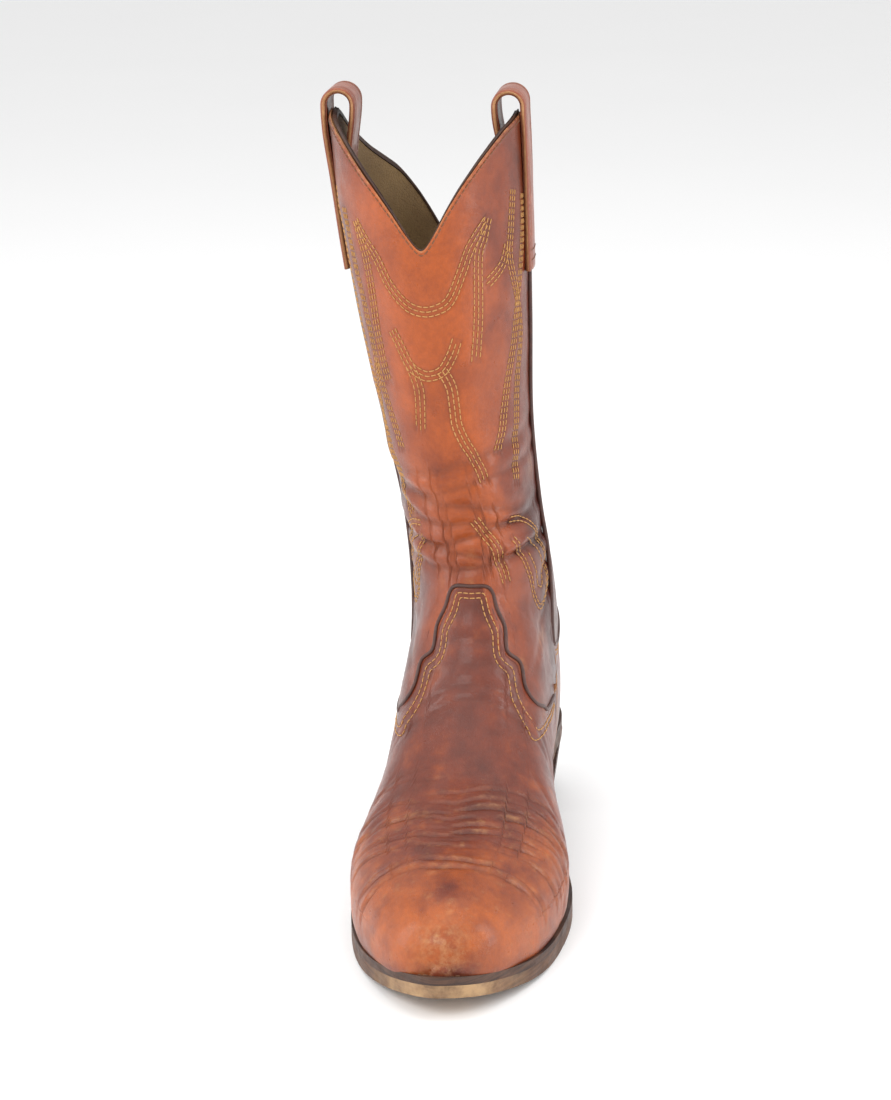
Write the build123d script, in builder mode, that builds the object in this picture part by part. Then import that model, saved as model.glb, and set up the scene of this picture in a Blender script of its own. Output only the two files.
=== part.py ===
"""Western (cowboy) boot for the right foot, welted and leather-soled, with a 12 inch shaft.

Millimetres. The toe points along -Y, the medial side (towards the other boot) is +X and +Z is up; the
origin is on the floor under the middle of the boot. Drawings are made in the boot's own measures,
which the three view functions place: y from the tip of the toe back to the heel, x from the middle of
the heel, z from the floor.

The upper is a stack of skins over one foot-and-leg shape, from the outside in: piping, outer leather,
stiffener, lining. The shape is a row of rings, the stations; each skin is lofted through them between
two depths, and a piece is the part of a skin inside its zone. Under it lie the insole, the filler and
shank, the welt, the outsole and the stacked heel.
"""

from build123d import *
import math
import os
from typing import NamedTuple

# Where the boot's own measures start in the model's frame
TOE_Y = -150.7
HEEL_X = 10.0

# Driving dimensions of the sole unit
SOLE_LENGTH = 301.0
TOE_SPRING = 12.0  # height of the toe tip above the floor
TREAD_FRONT = 75.0  # the tread lies flat on the floor from here ...
TREAD_BACK = 125.0  # ... to here
HEEL_BREAST = 235.0  # front face of the heel
HEEL_SEAT = 34.0  # underside of the outsole at the heel breast
SEAT_SLOPE = 0.03  # rise of the heel seat towards the back
SOLE_TIP_X = 3.0
OUTSOLE = 6.0
WELT = 4.0
FILLER = 3.5
INSOLE = 3.5
SOCK = 1.5
SOCK_FRONT = 195.0
SHANK_LENGTH = 90.0
SHANK_WIDTH = 13.0
SHANK_MIDDLE = (-2.0, 188.0)
SHANK_LOW = 0.8  # above the outsole
SHANK_THICK = 2.0
PEG_RADIUS = 1.1
PEG_ROWS = 7
PEG_PITCH = 10.0
PEG_FRONT = 161.0  # y of the first row
PEG_MIDDLE_X = -3.0
PEG_SPREAD = (23.0, 16.0)  # from the middle of the waist, at the first row and at the last

# Heel
HEEL_CAP = 6.5
HEEL_LIFTS = 5
HEEL_HALF_WIDTH = 36.0
HEEL_UNDERCUT = 10.0  # how far the heel's back slopes in towards the floor
HEEL_TAPER = 5.0  # how far each side of the heel slopes in
BREAST_RAKE = 2.0  # how far the breast slopes back towards the floor
NAIL_COUNT = 5
NAIL_RADIUS = 0.9
NAIL_LENGTH = 24.0
NAIL_CIRCLE = 15.0
NAIL_MIDDLE = 262.0
NAIL_RECESS = 0.5  # of the nails' ends in the cap

# Depths under the outer surface of the upper
PIPING_PROUD = -1.0
OUTER_LEATHER = 1.8
STIFFENER = 2.7
LINING = 3.6
RIB = 6.6

# Seams and edges of the upper
SCALLOP_MIDDLE = -20.5  # x of the V: the top of the shaft leans outwards
SCALLOP_SPAN = (50.0, 42.5)  # from the middle to the lateral and to the medial side seam
FRONT_SCALLOP_FLOOR = 303.0
BACK_SCALLOP_FLOOR = 286.0
FRONT_SCALLOP = [(0.25, 18.0), (0.5, 35.0), (0.75, 49.5), (1.0, 60.5)]  # share of the span, rise
BACK_SCALLOP = [
    (0.15, 13.5),
    (0.33, 27.5),
    (0.51, 40.0),
    (0.64, 46.5),
    (0.8, 54.5),
    (0.94, 66.0),
    (1.0, 77.5),
]
TOP_BAND = 3.0  # height of the dark band inside the top edge
TONGUE_EDGE = [(8, 142.5), (11.5, 133), (15.5, 124), (17, 114), (23, 107), (26, 96), (33, 84), (38, 78)]
TONGUE_TOP = 143.5  # the vamp's edge on the middle of the instep; TONGUE_EDGE runs on down each side
LOBE_BACK = 195.0  # where the vamp's edge turns up again towards the side seam
SEAM_CORNER = (222.0, 97.0)  # y, z where vamp, counter and both shaft panels meet
SEAM_BELOW = 20.0  # how far the side seam's line goes on under the corner
SEAM_ANKLE = (3.0, 63.0)  # the side seam's bend at the ankle, from the corner
SEAM_STRAIGHT = 300.0  # above this the side seam is upright
WING_STEP = 8.0  # the vamp's wing leaves the lobe and meets the corner over this length
WING_RISE = 0.5
WING_DROP = 11.0
COUNTER_DIP = (20.0, 4.0)  # the counter's top edge behind the corner: back and down ...
COUNTER_SWELL = (46.0, 7.0)  # ... then back and up
COUNTER_RISE = 23.0
SCALLOP_LAP = 20.0  # how far each top edge's zone reaches past the side seam
COUNTER_LEAN = 10.0  # how far forward the counter's front edge leans down to the sole
SEAM_TOP = 228.0  # y of the side seam at the top
PIPING_WIDTH = 2.2

# Pull straps
STRAP_WIDTH = 26.0
STRAP_THICK = 2.6
STRAP_TOP = 374.5
STRAP_OUTER_END = 288.0
STRAP_INNER_END = 296.0
STRAP_SPAN = 16.5  # across the loop, outside to outside
STRAP_GAP = 0.2  # between the strap and the leather it lies on

NARROWEST = 4.0  # half width that an inner layer of the sole starts from at the toe
WIDE = 200.0  # further across than any piece reaches
HIGH = 420.0  # higher than any piece reaches
LONG = 320.0  # further back than any piece reaches


class Station(NamedTuple):
    """One ring of the upper, in a plane that crosses the boot from its front to its back or sole."""

    front_y: float  # on the toe, instep or shin
    front_z: float
    back_y: float  # on the sole, heel or calf
    back_z: float
    half_width: float
    widest: float  # share of the way from front to back
    front_power: float  # 2 is an ellipse, more is boxier
    back_power: float
    front_x: float  # sideways shift of the ring at its front ...
    back_x: float  # ... and at its back


STATIONS = [
    Station(5.5, 25, 5.5, 15, 4.5, 0.60, 2.0, 3.0, 3.0, 3.0),
    Station(7, 31, 7, 15, 10.5, 0.60, 2.0, 3.2, 3.0, 3.0),
    Station(11, 37, 11, 13.5, 17, 0.60, 2.05, 3.4, 3.0, 3.0),
    Station(19, 43, 19, 11, 24.5, 0.62, 2.1, 3.8, 2.9, 2.9),
    Station(32, 48, 32, 8, 32.5, 0.63, 2.15, 4.0, 2.6, 2.6),
    Station(52, 52, 52, 4.5, 41.5, 0.63, 2.2, 4.2, 2.2, 2.2),
    Station(76, 57.5, 76, 3, 48, 0.61, 2.2, 4.2, 1.6, 1.6),
    Station(100, 66, 100, 3, 50.5, 0.61, 2.1, 4.2, 1.0, 1.0),
    Station(122, 78, 126, 4, 47.5, 0.64, 2.0, 4.2, 1.0, 0.0),
    Station(141, 94, 155, 10, 42.5, 0.66, 1.95, 4.2, 1.0, -1.5),
    Station(155, 112, 190, 24, 39, 0.64, 1.95, 4.3, 0.6, -2.0),
    Station(163.5, 127, 232, 34, 37.5, 0.60, 2.0, 4.4, 0.4, -1.0),
    Station(168, 137, 264, 35, 36.5, 0.57, 2.0, 4.4, 0.2, 0.0),
    Station(169.8, 142, 289, 38, 36, 0.56, 2.0, 3.7, 0.0, 0.0),
    Station(171, 146.5, 297.5, 49, 35.5, 0.55, 2.05, 3.0, 0.0, 0.0),
    Station(172, 151, 299.5, 66, 35.2, 0.54, 2.05, 2.6, 0.0, 0.0),
    Station(172.8, 158, 296.5, 88, 34.7, 0.53, 2.1, 2.4, -0.5, 0.0),
    Station(173, 171, 288, 119, 34, 0.52, 2.1, 2.3, -2.5, -0.5),
    Station(172.5, 191, 284, 156, 33.5, 0.52, 2.1, 2.2, -7.0, -3.5),
    Station(171, 226, 286, 205, 36, 0.51, 2.1, 2.1, -12.5, -10.5),
    Station(168, 270, 289, 261, 41, 0.50, 2.0, 2.0, -17.0, -16.5),
    Station(164.5, 320, 291, 318, 44.5, 0.50, 2.0, 2.0, -21.0, -21.0),
    Station(162, 372, 292, 372, 46, 0.50, 2.0, 2.0, -24.5, -24.5),
]
# Numbers of the stations where the parts of the upper begin and end
TOE_END = 5
INSTEP = 9
HEEL_START = 10
ANKLE_BACK = 13
VAMP_END = 14
HEEL_END = 18
TOP = len(STATIONS) - 1
RINGS_BETWEEN = 2  # steps from one station to the next
ARC_STEPS = 20
SIDE_ARC = 150  # the foot's rings are drawn in two arcs, which meet under the outsole's top
FULL_TURN = 360
HEEL_ARC = 55  # where the heel's skins start, round from the front
FRONT_ARC = 100  # how far round the front panel's skins go
BACK_ARC = 70  # where the back panel's skins start
HEEL_ROUND = 2.0  # the wall's back at the sole, in front of the ring's

# Plan of the sole: y, half width, sideways shift of the middle
SOLE_PLAN = [
    (5, 11.6, 3.0),
    (20.5, 25.6, 2.9),
    (45, 39.5, 2.5),
    (75, 48.2, 1.6),
    (105, 51.6, 1.0),
    (135, 49.5, 0.0),
    (165, 42.5, -1.5),
    (195, 38.0, -2.0),
    (235, 36.0, -1.0),
    (265, 36.0, 0.0),
    (290, 25.0, 0.0),
]


def side_view(x=0.0):
    """A plane across x, seen from the medial side: local x is the boot's y, local y is its z."""
    return Plane(origin=(HEEL_X + x, TOE_Y, 0), x_dir=(0, 1, 0), z_dir=(1, 0, 0))


def front_view(y=0.0):
    """A plane across y, seen from the toe: local x is the boot's x, local y is its z."""
    return Plane(origin=(HEEL_X, TOE_Y + y, 0), x_dir=(1, 0, 0), z_dir=(0, -1, 0))


def floor_view(z=0.0):
    """A level plane at a height, in the boot's x and y."""
    return Plane(origin=(HEEL_X, TOE_Y, z))


# The foot-and-leg shape


def ring_at(place):
    """The ring at a place between two stations, on a smooth (Catmull-Rom) curve through them all."""
    number = min(int(place), TOP - 1)
    t = place - number
    neighbours = [STATIONS[min(max(number + step, 0), TOP)] for step in (-1, 0, 1, 2)]
    weights = (
        (-t + 2 * t**2 - t**3) / 2,
        (2 - 5 * t**2 + 3 * t**3) / 2,
        (t + 4 * t**2 - 3 * t**3) / 2,
        (-(t**2) + t**3) / 2,
    )
    return Station(*(sum(w * value for w, value in zip(weights, values)) for values in zip(*neighbours)))


def rings_between(start, end):
    """Rings from one station to another, with those between them."""
    return [ring_at(start + step / RINGS_BETWEEN) for step in range((end - start) * RINGS_BETWEEN + 1)]


def ring_length(ring):
    """From the ring's front to its back."""
    return math.dist((ring.front_y, ring.front_z), (ring.back_y, ring.back_z))


def ring_place(ring, share):
    """y and z that share of the way from the ring's front to its back."""
    y = ring.front_y + (ring.back_y - ring.front_y) * share
    return y, ring.front_z + (ring.back_z - ring.front_z) * share


def inset_ring(ring, inset):
    """The same ring on a surface that lies inset under the outer one."""
    length = ring_length(ring)
    front_y, front_z = ring_place(ring, inset / length)
    back_y, back_z = ring_place(ring, 1 - inset / length)
    widest = (ring.widest * length - inset) / (length - 2 * inset)
    half_width = ring.half_width - inset
    return Station(front_y, front_z, back_y, back_z, half_width, widest, *ring[6:])


def inset_toe_ring(ring, inset):
    """The toe is closed, so its rings shrink as the last of them does, and draw back towards it."""
    last = STATIONS[TOE_END]
    inner = inset_ring(last, inset)
    shrink = ring_length(inner) / ring_length(last)
    middle = (last.front_z + last.back_z) / 2
    y = ring.front_y + (last.front_y - ring.front_y) * inset / (last.front_y - STATIONS[0].front_y)
    front_z = middle + (ring.front_z - middle) * shrink
    back_z = middle + (ring.back_z - middle) * shrink
    half_width = ring.half_width * inner.half_width / last.half_width
    widest = ring.widest + inner.widest - last.widest
    return Station(y, front_z, y, back_z, half_width, widest, *ring[6:])


def ring_plane(ring):
    """The ring's plane: local x is across the boot, local y runs from the back to the front."""
    y, z = ring_place(ring, ring.widest)
    forward = Vector(0, ring.front_y - ring.back_y, ring.front_z - ring.back_z)
    return Plane(origin=(HEEL_X, TOE_Y + y, z), x_dir=(1, 0, 0), z_dir=Vector(1, 0, 0).cross(forward))


def ring_point(ring, angle):
    """A point of the ring, a superellipse with one power towards the front and one towards the back."""
    length = ring_length(ring)
    c = math.cos(math.radians(angle))
    s = math.sin(math.radians(angle))
    power = ring.front_power if c >= 0 else ring.back_power
    reach = length * (ring.widest if c >= 0 else 1 - ring.widest)
    along = math.copysign(reach * abs(c) ** (2 / power), c)
    across = math.copysign(ring.half_width * abs(s) ** (2 / power), s)
    share = ring.widest - along / length
    return across + ring.front_x + (ring.back_x - ring.front_x) * share, along


def arc_points(ring, start, end):
    """Points of the ring between two angles: 0 is its front, 90 its medial side."""
    return [ring_point(ring, start + (end - start) * step / ARC_STEPS) for step in range(ARC_STEPS + 1)]


def foot_shape(end, toe_inset, inset):
    """The foot from the toe's tip to a station, moved in by one depth over the toe and another behind it."""
    rings = [inset_toe_ring(ring, toe_inset) for ring in rings_between(0, TOE_END)]
    rings += [inset_ring(ring, inset) for ring in rings_between(TOE_END, end)[1:]]
    with BuildPart() as shape:
        for ring in rings:
            with BuildSketch(ring_plane(ring)):
                with BuildLine():
                    Spline(*arc_points(ring, -SIDE_ARC, SIDE_ARC))
                    Spline(*arc_points(ring, SIDE_ARC, FULL_TURN - SIDE_ARC))
                make_face()
        loft(ruled=True)
    return shape.part


def foot_skin(end, outside, inside, toe_outside):
    """The skin of the foot between two depths. Over the toe it starts from its own depth."""
    outer_foot = foot_shape(end, toe_outside, outside)
    inner_foot = foot_shape(end, inside, inside)
    with BuildPart() as layer:
        add(outer_foot)
        add(inner_foot, mode=Mode.SUBTRACT)
    return layer.part


def skin(rings, outside, inside, start, end):
    """The skin between two insets and between two angles round the rings."""
    with BuildPart() as layer:
        for ring in rings:
            outer_arc = arc_points(inset_ring(ring, outside), start, end)
            inner_arc = arc_points(inset_ring(ring, inside), start, end)
            with BuildSketch(ring_plane(ring)):
                with BuildLine():
                    Spline(*outer_arc)
                    Line(outer_arc[-1], inner_arc[-1])
                    Spline(*inner_arc)
                    Line(inner_arc[0], outer_arc[0])
                make_face()
        loft(ruled=True)
    return layer.part


# Zones: blocks that say where a piece begins and ends


def above_sole_line(lift):
    """Everything above the outsole's underside, lifted: toe spring, flat tread, waist and heel seat."""
    radius = (TREAD_FRONT**2 + TOE_SPRING**2) / (2 * TOE_SPRING)
    half_angle = math.asin(TREAD_FRONT / radius) / 2
    mid_y = TREAD_FRONT - radius * math.sin(half_angle)
    mid_spring = (mid_y, radius * (1 - math.cos(half_angle)) + lift)
    waist = HEEL_BREAST - TREAD_BACK
    seat_back = HEEL_SEAT + SEAT_SLOPE * (LONG - HEEL_BREAST)
    with BuildPart() as zone:
        with BuildSketch(side_view(-WIDE / 2)):
            with BuildLine():
                ThreePointArc((0, TOE_SPRING + lift), mid_spring, (TREAD_FRONT, lift))
                Line((TREAD_FRONT, lift), (TREAD_BACK, lift))
                Bezier(
                    (TREAD_BACK, lift),
                    (TREAD_BACK + waist / 3, lift),
                    (HEEL_BREAST - waist / 3, HEEL_SEAT - SEAT_SLOPE * waist / 3 + lift),
                    (HEEL_BREAST, HEEL_SEAT + lift),
                )
                Polyline(
                    (HEEL_BREAST, HEEL_SEAT + lift),
                    (LONG, seat_back + lift),
                    (LONG, HIGH),
                    (-LONG / 10, HIGH),
                    (-LONG / 10, TOE_SPRING + lift),
                    (0, TOE_SPRING + lift),
                )
            make_face()
        extrude(amount=WIDE)
    return zone.part


def tongue_zone(grow=0.0):
    """Under the vamp's edge as seen from the front, as far back as the lobes."""
    medial = [(x + grow, z + grow) for x, z in TONGUE_EDGE]
    lateral = [(-x, z) for x, z in reversed(medial)]
    low = medial[-1][1]
    with BuildPart() as zone:
        with BuildSketch(front_view(LOBE_BACK)):
            with BuildLine():
                Spline(*lateral, (0, TONGUE_TOP + grow), *medial)
                Polyline(
                    medial[-1],
                    (WIDE / 2, low),
                    (WIDE / 2, 0),
                    (-WIDE / 2, 0),
                    (-WIDE / 2, low),
                    lateral[0],
                )
            make_face()
        extrude(amount=LONG)
    return zone.part


def wing_zone(grow=0.0):
    """Under the vamp's edge as seen from the side, from the lobes back to the counter."""
    corner_y, corner_z = SEAM_CORNER
    low = TONGUE_EDGE[-1][1] + grow
    corner = (corner_y, corner_z + grow)
    wing_y = LOBE_BACK + WING_STEP
    rise_y = corner_y - WING_STEP
    rise_z = corner_z - WING_DROP + grow
    with BuildPart() as zone:
        with BuildSketch(side_view(-WIDE / 2)):
            with BuildLine():
                Spline((LOBE_BACK, low), (wing_y, low + WING_RISE), (rise_y, rise_z), corner)
                if grow:
                    Line(corner, SEAM_CORNER)
                Polyline(SEAM_CORNER, (corner_y - COUNTER_LEAN, 0), (LOBE_BACK, 0), (LOBE_BACK, low))
            make_face()
        extrude(amount=WIDE)
    return zone.part


def counter_zone(grow=0.0):
    """Under the counter's top edge, behind the vamp's wings."""
    corner_y, corner_z = SEAM_CORNER
    front = (corner_y, corner_z + grow)
    back = (LONG, corner_z + COUNTER_RISE + grow)
    dip = (corner_y + COUNTER_DIP[0], corner_z - COUNTER_DIP[1] + grow)
    swell = (corner_y + COUNTER_SWELL[0], corner_z + COUNTER_SWELL[1] + grow)
    with BuildPart() as zone:
        with BuildSketch(side_view(-WIDE / 2)):
            with BuildLine():
                Spline(front, dip, swell, back)
                Polyline(back, (LONG, 0), (corner_y - COUNTER_LEAN, 0), SEAM_CORNER)
                if grow:
                    Line(SEAM_CORNER, front)
            make_face()
        extrude(amount=WIDE)
    return zone.part


def front_zone(shift=0.0):
    """In front of the side seam, which runs from the corner up to the top edge."""
    corner_y, corner_z = SEAM_CORNER
    low = (corner_y + shift, corner_z - SEAM_BELOW)
    ankle = (corner_y + SEAM_ANKLE[0] + shift, corner_z + SEAM_ANKLE[1])
    high = (SEAM_TOP + shift, HIGH)
    with BuildPart() as zone:
        with BuildSketch(side_view(-WIDE / 2)):
            with BuildLine():
                Spline(low, (corner_y + shift, corner_z), ankle, (SEAM_TOP + shift, SEAM_STRAIGHT), high)
                Polyline(high, (0, HIGH), (0, low[1]), low)
            make_face()
        extrude(amount=WIDE)
    return zone.part


def scallop_zone(floor, rises, front_y, back_y):
    """Above a V-shaped top edge, between two distances from the toe."""
    span_lateral, span_medial = SCALLOP_SPAN
    lateral = [(SCALLOP_MIDDLE - share * span_lateral, floor + rise) for share, rise in rises]
    medial = [(SCALLOP_MIDDLE + share * span_medial, floor + rise) for share, rise in rises]
    lowest = (SCALLOP_MIDDLE, floor)
    edge_z = medial[-1][1]
    with BuildPart() as zone:
        with BuildSketch(front_view(back_y)):
            with BuildLine():
                Spline(lowest, *lateral)
                Spline(lowest, *medial)
                Polyline(
                    medial[-1],
                    (WIDE / 2, edge_z),
                    (WIDE / 2, HIGH),
                    (-WIDE / 2, HIGH),
                    (-WIDE / 2, edge_z),
                    lateral[-1],
                )
            make_face()
        extrude(amount=back_y - front_y)
    return zone.part


def slab(low_y, high_y):
    """Everything between two distances from the toe."""
    with BuildPart() as zone:
        with BuildSketch(side_view(-WIDE / 2)):
            with Locations(((low_y + high_y) / 2, 0)):
                Rectangle(high_y - low_y, 2 * HIGH)
        extrude(amount=WIDE)
    return zone.part


def sole_block():
    """The sole's plan, as a tall block."""
    medial = [(shift + half, y) for y, half, shift in SOLE_PLAN]
    lateral = [(shift - half, y) for y, half, shift in reversed(SOLE_PLAN)]
    with BuildPart() as block:
        with BuildSketch(floor_view()):
            with BuildLine():
                Spline((SOLE_TIP_X, 0), *medial, (0, SOLE_LENGTH), *lateral, periodic=True)
            make_face()
        extrude(amount=WIDE)
    return block.part


def sole_height(y):
    """Height of the outsole's underside."""
    if y < TREAD_FRONT:
        radius = (TREAD_FRONT**2 + TOE_SPRING**2) / (2 * TOE_SPRING)
        return radius - math.sqrt(radius**2 - (TREAD_FRONT - y) ** 2)
    if y > HEEL_BREAST:
        return HEEL_SEAT + SEAT_SLOPE * (y - HEEL_BREAST)
    t = max(0.0, (y - TREAD_BACK) / (HEEL_BREAST - TREAD_BACK))
    steep = HEEL_SEAT - SEAT_SLOPE * (HEEL_BREAST - TREAD_BACK) / 3
    return 3 * steep * t**2 * (1 - t) + HEEL_SEAT * t**3


def wall_point(ring, side, inset, lift):
    """x and y just inside the ring's side wall at a lift above the sole line, or None above the heel."""
    low = 90.0
    high = 180.0
    for _ in range(30):
        angle = (low + high) / 2
        x, along = ring_point(ring, side * angle)
        y, z = ring_place(ring, ring.widest - along / ring_length(ring))
        if z > sole_height(y) + lift:
            low = angle
        else:
            high = angle
    middle = SOLE_LENGTH / 2
    drawn_in = middle + (y - middle) * (1 - inset / middle)
    return (x - side * inset, drawn_in) if high < 180 else None


def wall_block(inset, lift):
    """Everything inside the upper's wall, inset, as it stands at a lift above the sole line."""
    rings = STATIONS[:TOE_END] + rings_between(TOE_END, VAMP_END)
    rings = [ring for ring in rings if ring.half_width > inset + NARROWEST]
    medial = [point for ring in rings if (point := wall_point(ring, 1, inset, lift))]
    lateral = [point for ring in reversed(rings) if (point := wall_point(ring, -1, inset, lift))]
    heel_back = (0, STATIONS[VAMP_END].back_y - HEEL_ROUND - inset)
    with BuildPart() as block:
        with BuildSketch(floor_view()):
            with BuildLine():
                Spline(*medial, heel_back, *lateral)
                Line(lateral[-1], medial[0])
            make_face()
        extrude(amount=WIDE)
    return block.part


def joined(first, second):
    """Two neighbouring blocks as one."""
    with BuildPart() as both:
        add(first)
        add(second)
    return both.part


insole_low = OUTSOLE + FILLER
insole_high = insole_low + INSOLE

above_floor = above_sole_line(0)
above_outsole = above_sole_line(OUTSOLE)
above_welt = above_sole_line(OUTSOLE + WELT)
above_filler = above_sole_line(insole_low)
above_insole = above_sole_line(insole_high)
above_sock = above_sole_line(insole_high + SOCK)

vamp_area = joined(tongue_zone(), wing_zone())
vamp_area_grown = joined(tongue_zone(PIPING_WIDTH), wing_zone(PIPING_WIDTH))
counter_area = counter_zone()
counter_area_grown = counter_zone(PIPING_WIDTH)
in_front = front_zone()
above_front_edge = scallop_zone(FRONT_SCALLOP_FLOOR, FRONT_SCALLOP, 0, SEAM_TOP + SCALLOP_LAP)
above_back_edge = scallop_zone(BACK_SCALLOP_FLOOR, BACK_SCALLOP, SEAM_TOP - SCALLOP_LAP, LONG)
above_front_lining = scallop_zone(FRONT_SCALLOP_FLOOR - TOP_BAND, FRONT_SCALLOP, 0, SEAM_TOP + SCALLOP_LAP)
above_back_lining = scallop_zone(BACK_SCALLOP_FLOOR - TOP_BAND, BACK_SCALLOP, SEAM_TOP - SCALLOP_LAP, LONG)

sole_column = sole_block()
waist_and_forefoot = slab(-LONG / 10, HEEL_BREAST)
heel_part = slab(HEEL_BREAST, LONG)
welt_inside = wall_block(0, OUTSOLE + WELT)
filler_block = wall_block(LINING, OUTSOLE)
rib_inside = wall_block(RIB, OUTSOLE)
insole_block = wall_block(LINING, insole_low)
sock_block = wall_block(LINING, insole_high)

# Skins of the four parts of the upper: the stations that each runs through and the arc that it covers


def heel_skin(outside, inside):
    """Round the back of the heel, up to the ankle."""
    return skin(rings_between(HEEL_START, HEEL_END), outside, inside, HEEL_ARC, FULL_TURN - HEEL_ARC)


def front_skin(outside, inside):
    """Instep and the front of the shaft."""
    return skin(rings_between(INSTEP, TOP), outside, inside, -FRONT_ARC, FRONT_ARC)


def back_skin(outside, inside):
    """The back of the shaft."""
    return skin(rings_between(ANKLE_BACK, TOP), outside, inside, BACK_ARC, FULL_TURN - BACK_ARC)


with BuildPart() as under_foot:
    add(filler_block)
    add(above_outsole, mode=Mode.INTERSECT)
    add(above_filler, mode=Mode.SUBTRACT)

os.makedirs("parts", exist_ok=True)

# Foot: stiffeners, then leather and lining

toe_box_skin = foot_skin(TOE_END, OUTER_LEATHER, STIFFENER, OUTER_LEATHER)
with BuildPart() as toe_box:
    add(toe_box_skin)
    add(above_outsole, mode=Mode.INTERSECT)
    add(under_foot.part, mode=Mode.SUBTRACT)
toe_box.part.label = "toe_box"
export_step(toe_box.part, "parts/toe_box.step")

heel_stiffener_skin = heel_skin(OUTER_LEATHER, STIFFENER)
with BuildPart() as heel_stiffener:
    add(heel_stiffener_skin)
    add(counter_area, mode=Mode.INTERSECT)
    add(above_outsole, mode=Mode.INTERSECT)
heel_stiffener.part.label = "heel_stiffener"
export_step(heel_stiffener.part, "parts/heel_stiffener.step")

vamp_leather = foot_skin(VAMP_END, 0, OUTER_LEATHER, 0)
with BuildPart() as vamp:
    add(vamp_leather)
    add(vamp_area, mode=Mode.INTERSECT)
    add(above_outsole, mode=Mode.INTERSECT)
    add(under_foot.part, mode=Mode.SUBTRACT)
vamp.part.label = "vamp"
export_step(vamp.part, "parts/vamp.step")

vamp_fabric = foot_skin(VAMP_END, OUTER_LEATHER, LINING, STIFFENER)
with BuildPart() as vamp_lining:
    add(vamp_fabric)
    add(vamp_area, mode=Mode.INTERSECT)
    add(above_outsole, mode=Mode.INTERSECT)
    add(under_foot.part, mode=Mode.SUBTRACT)
vamp_lining.part.label = "vamp_lining"
export_step(vamp_lining.part, "parts/vamp_lining.step")

counter_leather = heel_skin(0, OUTER_LEATHER)
with BuildPart() as counter_cover:
    add(counter_leather)
    add(counter_area, mode=Mode.INTERSECT)
    add(above_outsole, mode=Mode.INTERSECT)
counter_cover.part.label = "counter_cover"
export_step(counter_cover.part, "parts/counter_cover.step")

heel_fabric = heel_skin(STIFFENER, LINING)
with BuildPart() as heel_lining:
    add(heel_fabric)
    add(counter_area, mode=Mode.INTERSECT)
    add(above_outsole, mode=Mode.INTERSECT)
heel_lining.part.label = "heel_lining"
export_step(heel_lining.part, "parts/heel_lining.step")

# Shaft: leather and lining, each in front of the side seam and behind it, and a dark band round the top

front_leather = front_skin(0, OUTER_LEATHER)
with BuildPart() as front_shaft_panel:
    add(front_leather)
    add(in_front, mode=Mode.INTERSECT)
    add(vamp_area, mode=Mode.SUBTRACT)
    add(counter_area, mode=Mode.SUBTRACT)
    add(above_front_edge, mode=Mode.SUBTRACT)
front_shaft_panel.part.label = "front_shaft_panel"
export_step(front_shaft_panel.part, "parts/front_shaft_panel.step")

back_leather = back_skin(0, OUTER_LEATHER)
with BuildPart() as back_shaft_panel:
    add(back_leather)
    add(in_front, mode=Mode.SUBTRACT)
    add(vamp_area, mode=Mode.SUBTRACT)
    add(counter_area, mode=Mode.SUBTRACT)
    add(above_back_edge, mode=Mode.SUBTRACT)
back_shaft_panel.part.label = "back_shaft_panel"
export_step(back_shaft_panel.part, "parts/back_shaft_panel.step")

front_fabric = front_skin(OUTER_LEATHER, LINING)
with BuildPart() as front_shaft_lining:
    add(front_fabric)
    add(in_front, mode=Mode.INTERSECT)
    add(vamp_area, mode=Mode.SUBTRACT)
    add(counter_area, mode=Mode.SUBTRACT)
    add(above_front_lining, mode=Mode.SUBTRACT)
front_shaft_lining.part.label = "front_shaft_lining"
export_step(front_shaft_lining.part, "parts/front_shaft_lining.step")

back_fabric = back_skin(OUTER_LEATHER, LINING)
with BuildPart() as back_shaft_lining:
    add(back_fabric)
    add(in_front, mode=Mode.SUBTRACT)
    add(vamp_area, mode=Mode.SUBTRACT)
    add(counter_area, mode=Mode.SUBTRACT)
    add(above_back_lining, mode=Mode.SUBTRACT)
back_shaft_lining.part.label = "back_shaft_lining"
export_step(back_shaft_lining.part, "parts/back_shaft_lining.step")

with BuildPart() as top_band_front:
    add(front_fabric)
    add(in_front, mode=Mode.INTERSECT)
    add(above_front_lining, mode=Mode.INTERSECT)
    add(above_front_edge, mode=Mode.SUBTRACT)
top_band_front.part.label = "top_band_front"
export_step(top_band_front.part, "parts/top_band_front.step")

with BuildPart() as top_band_back:
    add(back_fabric)
    add(in_front, mode=Mode.SUBTRACT)
    add(above_back_lining, mode=Mode.INTERSECT)
    add(above_back_edge, mode=Mode.SUBTRACT)
top_band_back.part.label = "top_band_back"
export_step(top_band_back.part, "parts/top_band_back.step")

# Piping: a raised cord along each seam

front_cord = front_skin(PIPING_PROUD, 0)
seam_band = front_zone(PIPING_WIDTH / 2)
seam_band_front = front_zone(-PIPING_WIDTH / 2)
with BuildPart() as side_cords:
    with BuildSketch(floor_view()):
        with Locations((0, LONG / 2)):
            Rectangle(WIDE, LONG)
    extrude(amount=STRAP_OUTER_END - 1)
    add(front_cord, mode=Mode.INTERSECT)
    add(seam_band, mode=Mode.INTERSECT)
    add(seam_band_front, mode=Mode.SUBTRACT)
    add(vamp_area_grown, mode=Mode.SUBTRACT)
    add(counter_area_grown, mode=Mode.SUBTRACT)

with BuildPart() as side_piping_lateral:
    add(side_cords.solids().sort_by(Axis.X)[0])
side_piping_lateral.part.label = "side_piping_lateral"
export_step(side_piping_lateral.part, "parts/side_piping_lateral.step")

with BuildPart() as side_piping_medial:
    add(side_cords.solids().sort_by(Axis.X)[-1])
side_piping_medial.part.label = "side_piping_medial"
export_step(side_piping_medial.part, "parts/side_piping_medial.step")

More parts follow.
